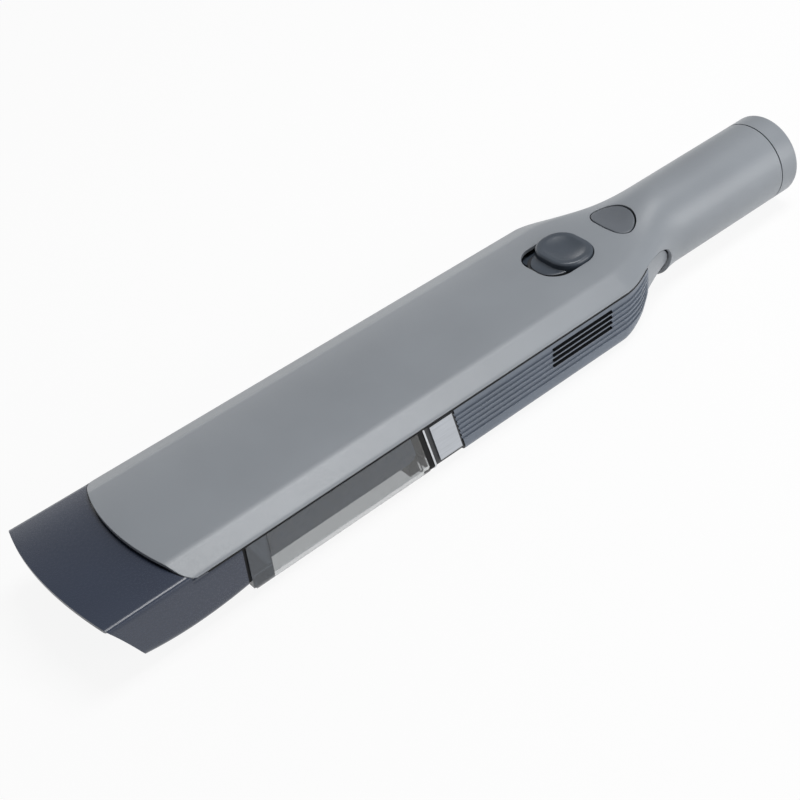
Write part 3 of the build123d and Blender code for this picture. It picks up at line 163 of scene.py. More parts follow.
def workedMetal(name, look):
    # Worked metal: fine lines along the way it was drawn, brushed or rolled, in both colour and gloss.
    # The stretch sets how much longer the lines are than wide along X, Y and Z.
    material, tree, place = newMaterial(name)
    along = addNode(tree, "ShaderNodeMapping", {"Vector": place, "Scale": look["stretch"]})
    lines = addNode(tree, "ShaderNodeTexNoise", {
        "Vector": along.outputs["Vector"], "Scale": perMm(look["lineMm"]), "Detail": 3.0})
    colour = addNode(tree, "ShaderNodeValToRGB", {"Fac": lines.outputs["Fac"]})
    for stop, position, tint in zip(colour.color_ramp.elements, metalLines["band"], metalLines["tints"]):
        stop.position, stop.color = position, hexColour(look["colour"], tint)
    (low, high), (sharper, duller) = metalLines["band"], metalLines["glossSwing"]
    gloss = addNode(tree, "ShaderNodeMapRange", {
        "Value": lines.outputs["Fac"], "From Min": low, "From Max": high,
        "To Min": look["rough"] + sharper, "To Max": look["rough"] + duller})
    relief = addNode(tree, "ShaderNodeBump", {
        "Height": lines.outputs["Fac"], "Strength": look["relief"], "Distance": metalLines["depth"]})
    shader = addNode(tree, "ShaderNodeBsdfPrincipled", {
        "Base Color": colour.outputs["Color"], "Roughness": gloss.outputs["Result"],
        "Normal": relief.outputs["Normal"], "Metallic": 1.0})
    addNode(tree, "ShaderNodeOutputMaterial", {"Surface": shader.outputs["BSDF"]})
    return material


sheetPores = dict(lightest=1.1, depth=0.0004)


def porousSheet(name, look):
    # Fibre and foam: a cell pattern of pores or fibre clumps, dark in the pits and soft to the light.
    material, tree, place = newMaterial(name)
    pores = addNode(tree, "ShaderNodeTexVoronoi", {"Vector": place, "Scale": perMm(look["poreMm"])})
    colour = addNode(tree, "ShaderNodeValToRGB", {"Fac": pores.outputs["Distance"]})
    for stop, tint in zip(colour.color_ramp.elements, (look["pit"], sheetPores["lightest"])):
        stop.color = hexColour(look["colour"], tint)
    relief = addNode(tree, "ShaderNodeBump", {
        "Height": pores.outputs["Distance"], "Strength": look["relief"], "Distance": sheetPores["depth"]})
    shader = addNode(tree, "ShaderNodeBsdfPrincipled", {
        "Base Color": colour.outputs["Color"], "Roughness": look["rough"],
        "Normal": relief.outputs["Normal"]})
    addNode(tree, "ShaderNodeOutputMaterial", {"Surface": shader.outputs["BSDF"]})
    return material


plasticLooks = {
    "cover_plastic": dict(name="satinAbsGrey", colour="#868B91", rough=0.38, relief=0.12,
                          cloudMm=60, grainMm=0.7),
    "nozzle_plastic": dict(name="satinAbsSlate", colour="#2B3446", rough=0.27, vary=0.015, relief=0.01,
                           cloudMm=40, grainMm=0.7),
    "housing_plastic": dict(name="satinAbsBlueGrey", colour="#646D7A", rough=0.40, relief=0.1,
                            cloudMm=40, grainMm=0.7),
    "inner_plastic": dict(name="grainedAbsBlack", colour="#232529", rough=0.55, relief=0.2,
                          cloudMm=15, grainMm=0.9),
    "liner_plastic": dict(name="smokeGreyAbs", colour="#36465D", rough=0.3, relief=0.05,
                          cloudMm=30, grainMm=0.8),
    "button_plastic": dict(name="satinAbsMidGrey", colour="#5C6168", rough=0.45, relief=0.12,
                           cloudMm=12, grainMm=0.6),
    "slider_plastic": dict(name="satinAbsSlateBlue", colour="#3A424C", rough=0.36, relief=0.1,
                           cloudMm=12, grainMm=0.6),
    "seal_rubber": dict(name="mouldedTpeBlack", colour="#0E0F11", ior=1.35, rough=0.75, relief=0.25,
                        cloudMm=10, grainMm=0.8),
    "cell_sleeve": dict(name="shrunkPvcSleeve", colour="#3A5F86", rough=0.3, relief=0.08,
                        cloudMm=9, grainMm=1.5),
    "board": dict(name="glassEpoxyBoard", colour="#1F5138", rough=0.38, relief=0.3,
                  cloudMm=3, grainMm=0.5),
}
clearLooks = {
    "clear_plastic": dict(name="smokyClearSan", colour="#C8CACB", rough=0.02, clear=1.0, hazeMm=6),
    "dark_clear_plastic": dict(name="darkClearSan", colour="#5F666F", rough=0.05, clear=0.6, hazeMm=6),
}
metalLooks = {
    "trim_chrome": dict(name="platedChrome", colour="#D3D6DA", rough=0.14, relief=0.02,
                        lineMm=1.5, stretch=(1, 1, 1)),
    "badge_metal": dict(name="brushedAluminium", colour="#BDC1C7", rough=0.36, relief=0.1,
                        lineMm=0.35, stretch=(0.03, 1, 1)),
    "spring_steel": dict(name="drawnSpringSteel", colour="#A3A6AA", rough=0.3, relief=0.05,
                         lineMm=0.4, stretch=(1, 1, 1)),
    "motor_steel": dict(name="zincPlatedSteel", colour="#AEB2B4", rough=0.34, relief=0.05,
                        lineMm=0.6, stretch=(0.1, 1, 1)),
    "core_steel": dict(name="stackedCoreSteel", colour="#7E8184", rough=0.45, relief=0.4,
                       lineMm=0.6, stretch=(1, 0.03, 0.03)),
    "bush_brass": dict(name="sinteredBronze", colour="#B08C57", rough=0.42, relief=0.2,
                       lineMm=0.4, stretch=(1, 1, 1)),
    "contact_brass": dict(name="platedBrass", colour="#C9A35A", rough=0.24, relief=0.05,
                          lineMm=0.4, stretch=(1, 1, 1)),
    "link_nickel": dict(name="rolledNickelStrip", colour="#BDB8AE", rough=0.3, relief=0.08,
                        lineMm=0.3, stretch=(1, 0.05, 1)),
    "screw_steel": dict(name="zincPlatedScrew", colour="#9A9DA0", rough=0.34, relief=0.1,
                        lineMm=0.5, stretch=(1, 1, 0.2)),
}
sheetLooks = {
    "filter_paper": dict(name="pleatedFilterPaper", colour="#E3DFD4", rough=0.9, relief=0.3,
                         poreMm=0.7, pit=0.8),
    # the foam is near black in its own colour and is set darker still so that it reads as the shade inside
    # the vents: partly painted shade
    "foam": dict(name="openCellFoam", colour="#0F1012", rough=0.95, relief=0.7, poreMm=0.9, pit=0.3),
}
finishes = {}
for makeFinish, looks in ((mouldedPlastic, plasticLooks), (clearPlastic, clearLooks),
                          (workedMetal, metalLooks), (porousSheet, sheetLooks)):
    for slotName, look in looks.items():
        finishes[slotName] = makeFinish(look["name"], look)
for part in frame["record"]["subparts"]:
    nodes[part["node"]].data.materials.clear()
    nodes[part["node"]].data.materials.append(finishes[part["material_slot"]])
print("materials made,", len(finishes))


def gridQuads(rows, columns, start=0):
    # the quads of a grid of points laid out row by row
    first = start + np.arange(rows - 1)[:, None] * columns + np.arange(columns - 1)[None, :]
    return np.stack([first, first + columns, first + columns + 1, first + 1], -1).reshape(-1, 4)


mergeGap = 2e-6  # metres


def buildPiece(name, points, quads, slotName, wall=0.0, edge=0.0, sharp=32, axisZ=20.0):
    # Points are stations in mm. Doubles are merged and the faces turned away from the long axis,
    # then modifiers give it a wall and either rounded or crisp edges.
    mesh = bpy.data.meshes.new(name)
    placed = (points + np.array([tipX, 0, 0])) / 1000
    mesh.from_pydata(placed.tolist(), [], quads.tolist())
    work = bmesh.new()
    work.from_mesh(mesh)
    bmesh.ops.remove_doubles(work, verts=work.verts, dist=mergeGap)
    bmesh.ops.dissolve_degenerate(work, dist=mergeGap, edges=work.edges)
    away = 0.0
    for face in work.faces:
        middle = face.calc_center_median()
        away += face.normal.dot(middle - Vector((middle.x, 0, axisZ / 1000))) * face.calc_area()
    if away < 0:
        bmesh.ops.reverse_faces(work, faces=work.faces)
    work.to_mesh(mesh)
    work.free()
    mesh.shade_smooth()
    piece = bpy.data.objects.new(name, mesh)
    bpy.context.collection.objects.link(piece)
    mesh.materials.append(finishes[slotName])
    if wall:
        skin = piece.modifiers.new("wall", "SOLIDIFY")
        skin.thickness, skin.offset = wall / 1000, -1
    if wall and not edge:
        crisp = piece.modifiers.new("crispRims", "EDGE_SPLIT")
        crisp.split_angle = np.radians(sharp)
    if edge:
        rounding = piece.modifiers.new("edges", "BEVEL")
        rounding.width, rounding.segments, rounding.limit_method = edge / 1000, 3, "ANGLE"
        rounding.angle_limit, rounding.harden_normals = np.radians(sharp), True
        rounding.use_clamp_overlap = False
    print("piece", name, len(mesh.polygons), "faces")
    return piece


def faceOut(piece):
    # turns the faces of a closed piece outward
    work = bmesh.new()
    work.from_mesh(piece.data)
    bmesh.ops.recalc_face_normals(work, faces=work.faces)
    work.to_mesh(piece.data)
    work.free()


def standIn(piece, node, body):
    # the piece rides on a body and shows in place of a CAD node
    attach(piece, body)
    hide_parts(node)


holeCut = dict(layer=3.0, step=0.01, passes=3, flattest=0.25)


def cutHole(points, quads, outline, drop):
    # Removes the quads whose middle is inside an outline, then draws the rim's points onto it by steps
    # down the outline's slope. The outline is a signed distance over x and y, below zero inside; drop
    # gives the height there, and only the layer of quads near that height is cut.
    middle = points[quads].mean(1)
    inside = outline(middle[:, 0], middle[:, 1]) < 0
    inside &= np.abs(middle[:, 2] - drop(middle[:, 0], middle[:, 1])) < holeCut["layer"]
    kept, lost = quads[~inside], quads[inside]
    rim = np.intersect1d(kept, lost)
    x, y = points[rim, 0], points[rim, 1]
    step = holeCut["step"]
    for _ in range(holeCut["passes"]):
        gap = outline(x, y)
        slopeX = (outline(x + step, y) - gap) / step
        slopeY = (outline(x, y + step) - gap) / step
        size = np.maximum(slopeX ** 2 + slopeY ** 2, holeCut["flattest"])
        x, y = x - gap * slopeX / size, y - gap * slopeY / size
    points[rim] = np.stack([x, y, drop(x, y)], -1)
    return kept


def roundedBox(x, y, halfX, halfY, corner):
    # signed distance to a rectangle with round corners
    overX, overY = np.abs(x) - halfX + corner, np.abs(y) - halfY + corner
    outside = np.hypot(np.maximum(overX, 0), np.maximum(overY, 0))
    return outside + np.minimum(np.maximum(overX, overY), 0) - corner


body = dict(frontHalf=40.6, rearHalf=38.6, neck=288.0, handle=345.0, end=416.65,
            lipTop=32.4, lean=1.6, floor=-1.1, corner=8.0, facetRun=10.7, facetRise=5.2, crown=39.8,
            radius=21.4955, axis=23.0, ease=1.6, soft=2.6, softSteps=7, turns=(40, 70, 115, 155),
            dip=2.6, dipTurns=(0, 40, 55, 70), dipShares=(1, 0.5, 0.15, 0))
topTurns, sideTurns = (0, 80), (60, 180)  # where a search looks for the top or the side, degrees of turn


def halfAt(x):
    # half width in front of the neck, a straight taper
    return body["frontHalf"] + (body["rearHalf"] - body["frontHalf"]) * np.clip(x / body["neck"], 0, 1)


def bodyOutline(x, turn, inset):
    # Half outline of the body by turn from the top, in degrees: to the first of its turns the arched top,
    # to the next the facet, then the side, the round corner and, to 180, the flat floor. Past 0 and 180
    # it goes on mirrored.
    sign = np.where((turn < 0) | (turn > 180), -1.0, 1.0)
    turn = np.where(turn > 180, 360 - turn, np.abs(turn))
    topTo, facetTo, sideTo, cornerTo = body["turns"]
    half = halfAt(x) - inset
    creaseY, creaseZ = half - body["facetRun"], body["lipTop"] + body["facetRise"] - inset
    edgeZ, crown = body["lipTop"] - inset, body["crown"] - inset
    floor, corner = body["floor"] + inset, body["corner"] - inset
    low = half - body["lean"]
    bend = np.radians(np.clip((turn - sideTo) / (cornerTo - sideTo), 0, 1) * 90)
    spans = [turn <= topTo, turn <= facetTo, turn <= sideTo, turn <= cornerTo]
    y = np.select(spans, [
        turn / topTo * creaseY,
        creaseY + (turn - topTo) / (facetTo - topTo) * (half - creaseY),
        half + (turn - facetTo) / (sideTo - facetTo) * (low - half),
        low - corner * (1 - np.cos(bend))], (low - corner) * (180 - turn) / (180 - cornerTo))
    z = np.select(spans, [
        crown - (crown - creaseZ) * (turn / topTo) ** 2,
        creaseZ + (turn - topTo) / (facetTo - topTo) * (edgeZ - creaseZ),
        edgeZ + (turn - facetTo) / (sideTo - facetTo) * (floor + corner - edgeZ),
        floor + corner * (1 - np.sin(bend))], floor)
    return sign * y, z


def bodyPoint(x, turn, inset=0.0):
    # the outline averaged over a few degrees, which softens its creases, then eased into the handle's
    # circle along the neck, with a dip over the top of the neck
    x, turn = np.broadcast_arrays(x, turn)
    spread = np.linspace(-body["soft"], body["soft"], body["softSteps"])
    softened = [bodyOutline(x, turn + s, inset) for s in spread]
    y, z = (sum(p[i] for p in softened) / len(spread) for i in (0, 1))
    along = np.clip((x - body["neck"]) / (body["handle"] - body["neck"]), 0, 1)
    eased = np.sin(along * np.pi / 2) ** body["ease"]
    fade = np.interp(turn, body["dipTurns"], body["dipShares"])
    dip = body["dip"] * np.sin(along * np.pi) ** 2 * fade
    radius = body["radius"] - inset
    y = (1 - eased) * y + eased * radius * np.sin(np.radians(turn))
    z = (1 - eased) * z + eased * (body["axis"] + radius * np.cos(np.radians(turn))) - dip
    return y, z


def turnFor(x, wanted, axis, span, inset=0.0):
    # the turn at which the outline reaches a wanted y (axis 0) or z (axis 1), by halving a span
    x, wanted = np.broadcast_arrays(np.asarray(x, float), np.asarray(wanted, float))
    low, high = np.full(x.shape, float(span[0])), np.full(x.shape, float(span[1]))
    for _ in range(36):
        mid = (low + high) / 2
        found = bodyPoint(x, mid, inset)[axis]
        past = found > wanted if axis == 0 else found < wanted
        low, high = np.where(past, low, mid), np.where(past, mid, high)
    return (low + high) / 2


def coverTop(x, y):
    # height of the cover's top at a plan point
    return bodyPoint(x, turnFor(x, np.abs(y), 0, topTurns))[1]


cover = dict(wall=1.9, edge=0.3, tip=34.0, tipRadius=87.0, tipCorner=7.0, tipJoin=36.54, tipSide=48.4,
             tipPlan=45.0, tipEase=80.0, fineFrom=262.0, split=300.0, lip=31.3, lipTurn=2,
             bend=308.0, run=19.5, sink=3.8, arch=6.5, seam=0.35, trim=0.6, topRows=(339.0, 356.0), swing=4)
bendRadius = (cover["run"] ** 2 + cover["sink"] ** 2) / (2 * cover["sink"])
bendAngle = np.arcsin(cover["run"] / bendRadius)
archRadius = cover["arch"] / (1 - np.sin(bendAngle))
archX = cover["bend"] + cover["run"] + cover["arch"]
archZ = cover["lip"] - cover["sink"] - archRadius * np.cos(bendAngle)


def tongueFront(y, half, grow=0.0):
    # plan of the cover's front: a shallow bow, then a round corner into the side
    y = np.abs(y)
    radius, corner = cover["tipRadius"] + grow, cover["tipCorner"] + grow
    join = half - cover["tipCorner"]
    centre = cover["tip"] + cover["tipRadius"]
    reach = cover["tipJoin"] / cover["tipRadius"] * radius
    bow = centre - np.sqrt(np.maximum(radius ** 2 - y ** 2, 0))
    side = cover["tipSide"] - np.sqrt(np.maximum(corner ** 2 - np.clip(y - join, 0, corner) ** 2, 0))
    return np.where(y < reach, bow, np.maximum(side, bow))


def lipHeight(x):
    # lower edge of the cover: level, then an arc down, then a tighter arc that turns upright
    sunk = np.sqrt(np.maximum(bendRadius ** 2 - (x - cover["bend"]) ** 2, 0))
    first = cover["lip"] - bendRadius + sunk
    reach = np.clip(x - (archX - archRadius), 0, archRadius)
    second = archZ + np.sqrt(np.maximum(archRadius ** 2 - reach ** 2, 0))
    arcs = np.where(x < cover["bend"] + cover["run"], first, second)
    return np.where(x < cover["bend"], cover["lip"], arcs)


slotHole = dict(x=280.95, length=32.7, width=28.5, corner=11.0)
powerHole = dict(x=315.0, radius=12.5, front=311.2, bow=1.4, corner=5.0, gap=0.55)


def slotOutline(x, y):
    # the slider's slot, a rounded rectangle
    return roundedBox(x - slotHole["x"], y, slotHole["length"] / 2, slotHole["width"] / 2, slotHole["corner"])


def powerOutline(x, y, grow=0.0):
    # a disc cut by a wide bow in front, with the two meeting corners rounded
    soft, bow = powerHole["corner"], powerHole["bow"]
    half = np.sqrt(powerHole["radius"] ** 2 - (powerHole["x"] - powerHole["front"] - bow) ** 2)
    bowRadius = (half ** 2 + bow ** 2) / (2 * bow)
    disc = np.hypot(x - powerHole["x"], y) - powerHole["radius"] + soft
    front = np.hypot(x - powerHole["front"] - bowRadius, y) - bowRadius + soft
    outside = np.hypot(np.maximum(disc, 0), np.maximum(front, 0))
    return outside + np.minimum(np.maximum(disc, front), 0) - soft - grow


def makeCover():
    # Front sheet: station by turn, from the tongue's curved front to the split. Rear sheet: rows that
    # slant from the top line to the lower edge, round the arch and then along the handle's underside.
    topTo, facetTo = body["turns"][:2]
    lastTurn = facetTo + cover["lipTurn"]
    share = np.concatenate([np.linspace(0, topTo, 51), np.linspace(topTo, facetTo, 15)[1:],
                            np.linspace(facetTo, lastTurn, 4)[1:]]) / lastTurn
    share = np.concatenate([-share[:0:-1], share])
    side, share = np.sign(share)[None, :], np.abs(share)[None, :]
    xs = np.concatenate([np.linspace(cover["tip"], cover["tipEase"], 28),
                         np.linspace(cover["tipEase"], cover["fineFrom"], 40)[1:],
                         np.linspace(cover["fineFrom"], cover["split"], 48)[1:]])[:, None]
    lipTurn = turnFor(xs, cover["lip"] + cover["trim"], 1, sideTurns)
    frontY = bodyPoint(np.full_like(share, cover["tipPlan"]), share * lipTurn[0])[0]
    offset = tongueFront(frontY, halfAt(cover["tipPlan"])) - cover["tip"]
    x = xs + offset * np.clip((cover["tipEase"] - xs) / (cover["tipEase"] - cover["tip"]), 0, 1)
    y, z = bodyPoint(x, share * lipTurn)
    front = np.stack([x, y * side, z], -1)

    arc1, arc2 = np.linspace(0, bendAngle, 26)[1:], np.linspace(bendAngle, np.pi / 2, 16)[1:]
    level = np.linspace(cover["split"], cover["bend"], 14)
    edgeX = np.concatenate([level, cover["bend"] + bendRadius * np.sin(arc1),
                            archX - archRadius + archRadius * np.sin(arc2)])
    edgeZ = lipHeight(edgeX)
    arcs = np.concatenate([np.zeros(len(level)), arc1, arc2])
    seam = np.interp(arcs, [0, bendAngle / 2], [cover["trim"], cover["seam"]])  # gap under the lip and arch
    edgeX, edgeZ = edgeX + seam * np.sin(arcs), edgeZ + seam * np.cos(arcs)
    edgeTurn = turnFor(edgeX, edgeZ, 1, sideTurns)
    upright = np.linspace(edgeTurn[-1], 180, 15)[1:]
    under = np.linspace(edgeX[-1], body["end"], 56)[1:]
    rowTurn = np.concatenate([edgeTurn, upright, np.full(len(under), 180.0)])[:, None]
    rowX = np.concatenate([edgeX, np.full(len(upright), edgeX[-1]), under])[:, None]
    archTop, uprightTop = cover["topRows"]
    topX = np.concatenate([np.linspace(cover["split"], archTop, len(edgeX)),
                           np.linspace(archTop, uprightTop, len(upright) + 1)[1:],
                           np.linspace(uprightTop, body["end"], len(under) + 1)[1:]])[:, None]
    late = np.clip((rowX - cover["bend"]) / (archX - cover["bend"]), 0, 1) * cover["swing"] + 1
    x = topX + share ** late * (rowX - topX)  # rows swing late, to meet the arch squarely
    y, z = bodyPoint(x, share * rowTurn)
    rear = np.stack([x, y * side, z], -1)

    rows, count = front.shape[:2]
    quads = np.concatenate([gridQuads(rows, count), gridQuads(*rear.shape[:2], rows * count)])
    points = np.concatenate([front.reshape(-1, 3), rear.reshape(-1, 3)])
    quads = cutHole(points, quads, slotOutline, coverTop)
    quads = cutHole(points, quads, lambda a, b: powerOutline(a, b, powerHole["gap"]), coverTop)
    piece = buildPiece("coverShell", points, quads, "cover_plastic", cover["wall"], cover["edge"])
    standIn(piece, "top_cover", "main_body")


shadeStrip = dict(front=52.0, back=306.0, inset=(0.25, 0.8), bottom=30.85, top=32.1, steps=80)


def makeShadeStrip(name, side):
    # painted shade: a black strip in the seal rubber under the cover's lip, put there for the shade in the
    # gap; a box carried along the body's side and drawn in to close its ends
    along = np.linspace(shadeStrip["front"], shadeStrip["back"], shadeStrip["steps"])
    x = np.concatenate([[shadeStrip["front"]], along, [shadeStrip["back"]]])[:, None]
    size = np.concatenate([[0], np.ones(shadeStrip["steps"]), [0]])[:, None]
    middle = (shadeStrip["bottom"] + shadeStrip["top"]) / 2
    edge = bodyPoint(x, turnFor(x, middle, 1, sideTurns))[0]
    near, far = shadeStrip["inset"]
    y = edge - (near + far) / 2 + size * np.array([[1, -1, -1, 1, 1]]) * (far - near) / 2
    z = middle + size * np.array([[-1, -1, 1, 1, -1]]) * (shadeStrip["top"] - shadeStrip["bottom"]) / 2
    points = np.stack(np.broadcast_arrays(x, side * y, z), -1)
    piece = buildPiece(name, points.reshape(-1, 3), gridQuads(*points.shape[:2]), "seal_rubber")
    faceOut(piece)
    piece.data.shade_flat()
    standIn(piece, "top_cover", "main_body")


throat = dict(front=335.0, thick=1.4, top=20.0, inset=1.0, steps=30)


def makeThroat():
    # plate that closes the handle's front under the saddle: the low part of the body's outline, carried a
    # little way along x and drawn in to close its top
    x, top, inset = throat["front"], throat["top"], throat["inset"]
    start = turnFor(np.array([x]), top, 1, sideTurns, inset)[0]
    y, z = bodyPoint(x, np.linspace(start, 180, throat["steps"])[:, None], inset)
    y, z = np.concatenate([[[0]], y]), np.concatenate([[[top]], z])
    size = np.concatenate([[0], np.ones(throat["steps"])])[:, None]
    x = x + throat["thick"] / 2 * (1 + size * np.array([[-1, -1, 1, 1, -1]]))
    points = np.stack(np.broadcast_arrays(x, y * np.array([[-1, 1, 1, -1, -1]]), z), -1)
    piece = buildPiece("handleThroat", points.reshape(-1, 3), gridQuads(*points.shape[:2]), "cover_plastic")
    faceOut(piece)
    piece.data.shade_flat()
    standIn(piece, "top_cover", "main_body")


makeCover()
# painted shade: a black strip under the lip on each side
makeShadeStrip("lipShadeStripNear", -1)
makeShadeStrip("lipShadeStripFar", 1)
makeThroat()

housing = dict(wall=2.0, sharp=40, front=180.6, lean=0.2126, leanTo=214.0, saddle=309.5, inset=1.0, gap=1.2,
               low=6.9, tailStart=285.0, tailRise=15.0, tailLow=1.2, soft=0.2, sideSteps=60, lowBend=0.615,
               pitch=8, firstGroove=9, grooves=6, groove=1.0, grooveHalf=3, grooveFlank=1.2, fade=(1.0, 1.5),
               vents=4, ventFrom=241.0, ventTo=279.0, shelf=(6.0, 4.0, 2.0, 0.5), shelfFacing=0.8,
               shelfSlack=0.2)  # groove widths, pitch and first groove are counted in steps down the side
tailRun = housing["saddle"] - housing["tailStart"]
tailRadius = (tailRun ** 2 + housing["tailRise"] ** 2) / (2 * housing["tailRise"])
floorHoles = dict(releaseX=196.8, releaseLength=13.9, releaseWidth=53.7, releaseCorner=5.0,
                  screwX=(214.0, 277.5), screwY=27.0, screwRadius=3.1)


def tailFloor(x):
    # flat, then an arc that sweeps up to the saddle
    run = np.clip(x - housing["tailStart"], 0, tailRun)
    return tailRadius - np.sqrt(tailRadius ** 2 - run ** 2)


def floorOutline(x, y):
    # the opening for the release button and the four screw recesses
    release = roundedBox(x - floorHoles["releaseX"], y, floorHoles["releaseLength"] / 2,
                         floorHoles["releaseWidth"] / 2, floorHoles["releaseCorner"])
    screws = [np.hypot(x - sx, np.abs(y) - floorHoles["screwY"]) - floorHoles["screwRadius"]
              for sx in floorHoles["screwX"]]
    return np.minimum(release, np.minimum(*screws))


def makeHousing():
    # One sheet, station by steps down the side and in under the floor. The side's steps keep their share
    # of the height, so that the ribs run together where the tail's floor rises. Grooves sink along y.
    sideSteps, lowBend, inset = housing["sideSteps"], housing["lowBend"], housing["inset"]
    lowSteps = np.concatenate([np.linspace(0, lowBend, 12)[1:], np.linspace(lowBend, 1, 34)[1:]])
    xs = np.concatenate([np.linspace(housing["front"], housing["ventFrom"], 56),
                         np.linspace(housing["ventFrom"], housing["ventTo"], 34)[1:],
                         np.linspace(housing["ventTo"], housing["saddle"], 34)[1:]])[:, None]
    top = lipHeight(xs) - housing["gap"]
    low = np.maximum(housing["low"], tailFloor(xs) + housing["tailLow"])
    step = np.arange(sideSteps)[None, :]
    sideTurn = turnFor(xs, top + (low - top) * step / (sideSteps - 1), 1, sideTurns, inset)
    lowTurn = sideTurn[:, -1:] + (180 - sideTurn[:, -1:]) * lowSteps[None, :]
    turn = np.concatenate([sideTurn, lowTurn], 1)
    z = bodyPoint(xs, turn, inset)[1]
    ahead = np.clip((housing["leanTo"] - xs) / (housing["leanTo"] - housing["front"]), 0, 1)
    x = xs + housing["lean"] * (cover["lip"] - z) * ahead  # the front edge leans back
    y, z = bodyPoint(x, turn, inset)
    lift, soft = tailFloor(x), housing["soft"]
    z = 0.5 * (z + lift + np.sqrt((z - lift) ** 2 + soft ** 2)) - soft / 2  # smooth larger of the two

    pitch, firstGroove, reach = housing["pitch"], housing["firstGroove"], housing["grooveHalf"]
    phase = (step - firstGroove + pitch / 2) % pitch - pitch / 2
    number = np.round((step - firstGroove - phase) / pitch)
    ribbed = (number >= 0) & (number < housing["grooves"])
    deep = housing["groove"] * ribbed * np.clip((reach - np.abs(phase)) / housing["grooveFlank"], 0, 1)
    fadeEnd, fadeRun = housing["fade"]
    ends = np.clip((housing["saddle"] - fadeEnd - xs) / fadeRun, 0, 1)  # ribs fade out just before the saddle
    y[:, :sideSteps] -= deep * ends
    half = np.stack([x, y, z], -1)
    shelf = half[:, :1] - np.array([0, 1, 0]) * np.array(housing["shelf"])[None, :, None]
    half = np.concatenate([shelf, half], 1)  # a ledge under the cover's lip goes first
    points = np.concatenate([half * np.array([1, -1, 1]), half[:, -2::-1]], 1)

    rows, count = points.shape[:2]
    quads = gridQuads(rows, count)
    points = points.reshape(-1, 3)
    row, column = quads[:, 0] // count, quads[:, 0] % count
    fold = np.minimum(column, count - 2 - column)  # column counted from either top edge
    inVent = np.zeros(len(quads), bool)
    for groove in range(housing["vents"]):
        centre = len(housing["shelf"]) + firstGroove + groove * pitch
        inVent |= (fold >= centre - reach) & (fold < centre + reach)
    stations = np.round(xs[row, 0], 2)
    inVent &= (stations >= housing["ventFrom"]) & (stations < housing["ventTo"])
    quads = cutHole(points, quads[~inVent], floorOutline, lambda a, b: tailFloor(a))
    piece = buildPiece("housingShell", points, quads, "housing_plastic", housing["wall"],
                       sharp=housing["sharp"])

    piece.data.materials.append(finishes["inner_plastic"])  # painted shade: the ledge under the cover's lip and the slots' walls take the black inner plastic, standing in for the shade in the gap and in the vents
    piece.modifiers["wall"].material_offset_rim = 1
    facing, middle = np.zeros((2, len(piece.data.polygons) * 3))
    piece.data.polygons.foreach_get("normal", facing)
    piece.data.polygons.foreach_get("center", middle)
    # painted shade: the upward faces of the ledge under the lip are the ones made black
    shadeLedgeZ = lipHeight(middle[::3] * 1000 - tipX) - housing["gap"] - housing["shelfSlack"]
    shadeLedge = (facing[2::3] > housing["shelfFacing"]) & (middle[2::3] * 1000 > shadeLedgeZ)
    piece.data.polygons.foreach_set("material_index", shadeLedge.astype(int))
    standIn(piece, "motor_housing", "main_body")


makeHousing()

nozzle = dict(wall=1.6, sharp=50, soft=0.020, softSteps=5, levels=(0.45, 0.75, 0.87),
              creaseBand=(0.43, 0.47), crown=36.9, crease=33.4, inset=0.77, lowIn=2.6, corner=4.5, rake=0.54,
              mouthTop=37.2, mouthRadius=213.3, mouthPlan=12.0, seam=68.4, step=0.4, stepLean=0.08,
              under=30.6, underCrown=0.4, window=dict(half=8.2, front=45.0, bottom=28.0))
belly = dict(low=4.5, x=42.75, reach=25.75, frontRise=2.5, backRise=2.0)


def bellyHeight(x):
    # shallow bow of the nozzle's underside, a parabola either side of its lowest station
    rise = np.where(x < belly["x"], belly["frontRise"], belly["backRise"])
    return belly["low"] + rise * ((x - belly["x"]) / belly["reach"]) ** 2


def nozzleLine(x, share, tucked):
    # Half outline by share: to the first level the arched top, then the leaning side, the corner and, to 1,
    # the floor. Tucked 1 gives the lower outline that goes under the cover's tongue.
    sign = np.where((share < 0) | (share > 1), -1.0, 1.0)
    share = np.where(share > 1, 2 - share, np.abs(share))
    topTo, sideTo, cornerTo = nozzle["levels"]
    half, lowHalf = halfAt(x) - nozzle["inset"], halfAt(x) - nozzle["lowIn"]
    floor, corner = bellyHeight(x), nozzle["corner"]
    crease = nozzle["crease"] + tucked * (nozzle["under"] - nozzle["crease"])
    crown = nozzle["crown"] - tucked * nozzle["underCrown"]
    creaseY = half + (nozzle["crease"] - crease) / (nozzle["crease"] - floor - corner) * (lowHalf - half)
    bend = np.radians(np.clip((share - sideTo) / (cornerTo - sideTo), 0, 1) * 90)
    down = (share - topTo) / (sideTo - topTo)
    spans = [share <= topTo, share <= sideTo, share <= cornerTo]
    y = np.select(spans, [
        share / topTo * creaseY,
        creaseY + down * (lowHalf - creaseY),
        lowHalf - corner * (1 - np.cos(bend))], (lowHalf - corner) * (1 - share) / (1 - cornerTo))
    z = np.select(spans, [
        crown - (crown - crease) * (share / topTo) ** 2,
        crease + down * (floor + corner - crease),
        floor + corner * (1 - np.sin(bend))], floor)
    return sign * y, z


def nozzleOutline(x, share, tucked):
    # the outline averaged over a narrow band of share, which rounds the crease
    band = np.linspace(-nozzle["soft"], nozzle["soft"], nozzle["softSteps"])
    lines = [nozzleLine(x, share + b, tucked) for b in band]
    return tuple(sum(p[i] for p in lines) / len(band) for i in (0, 1))


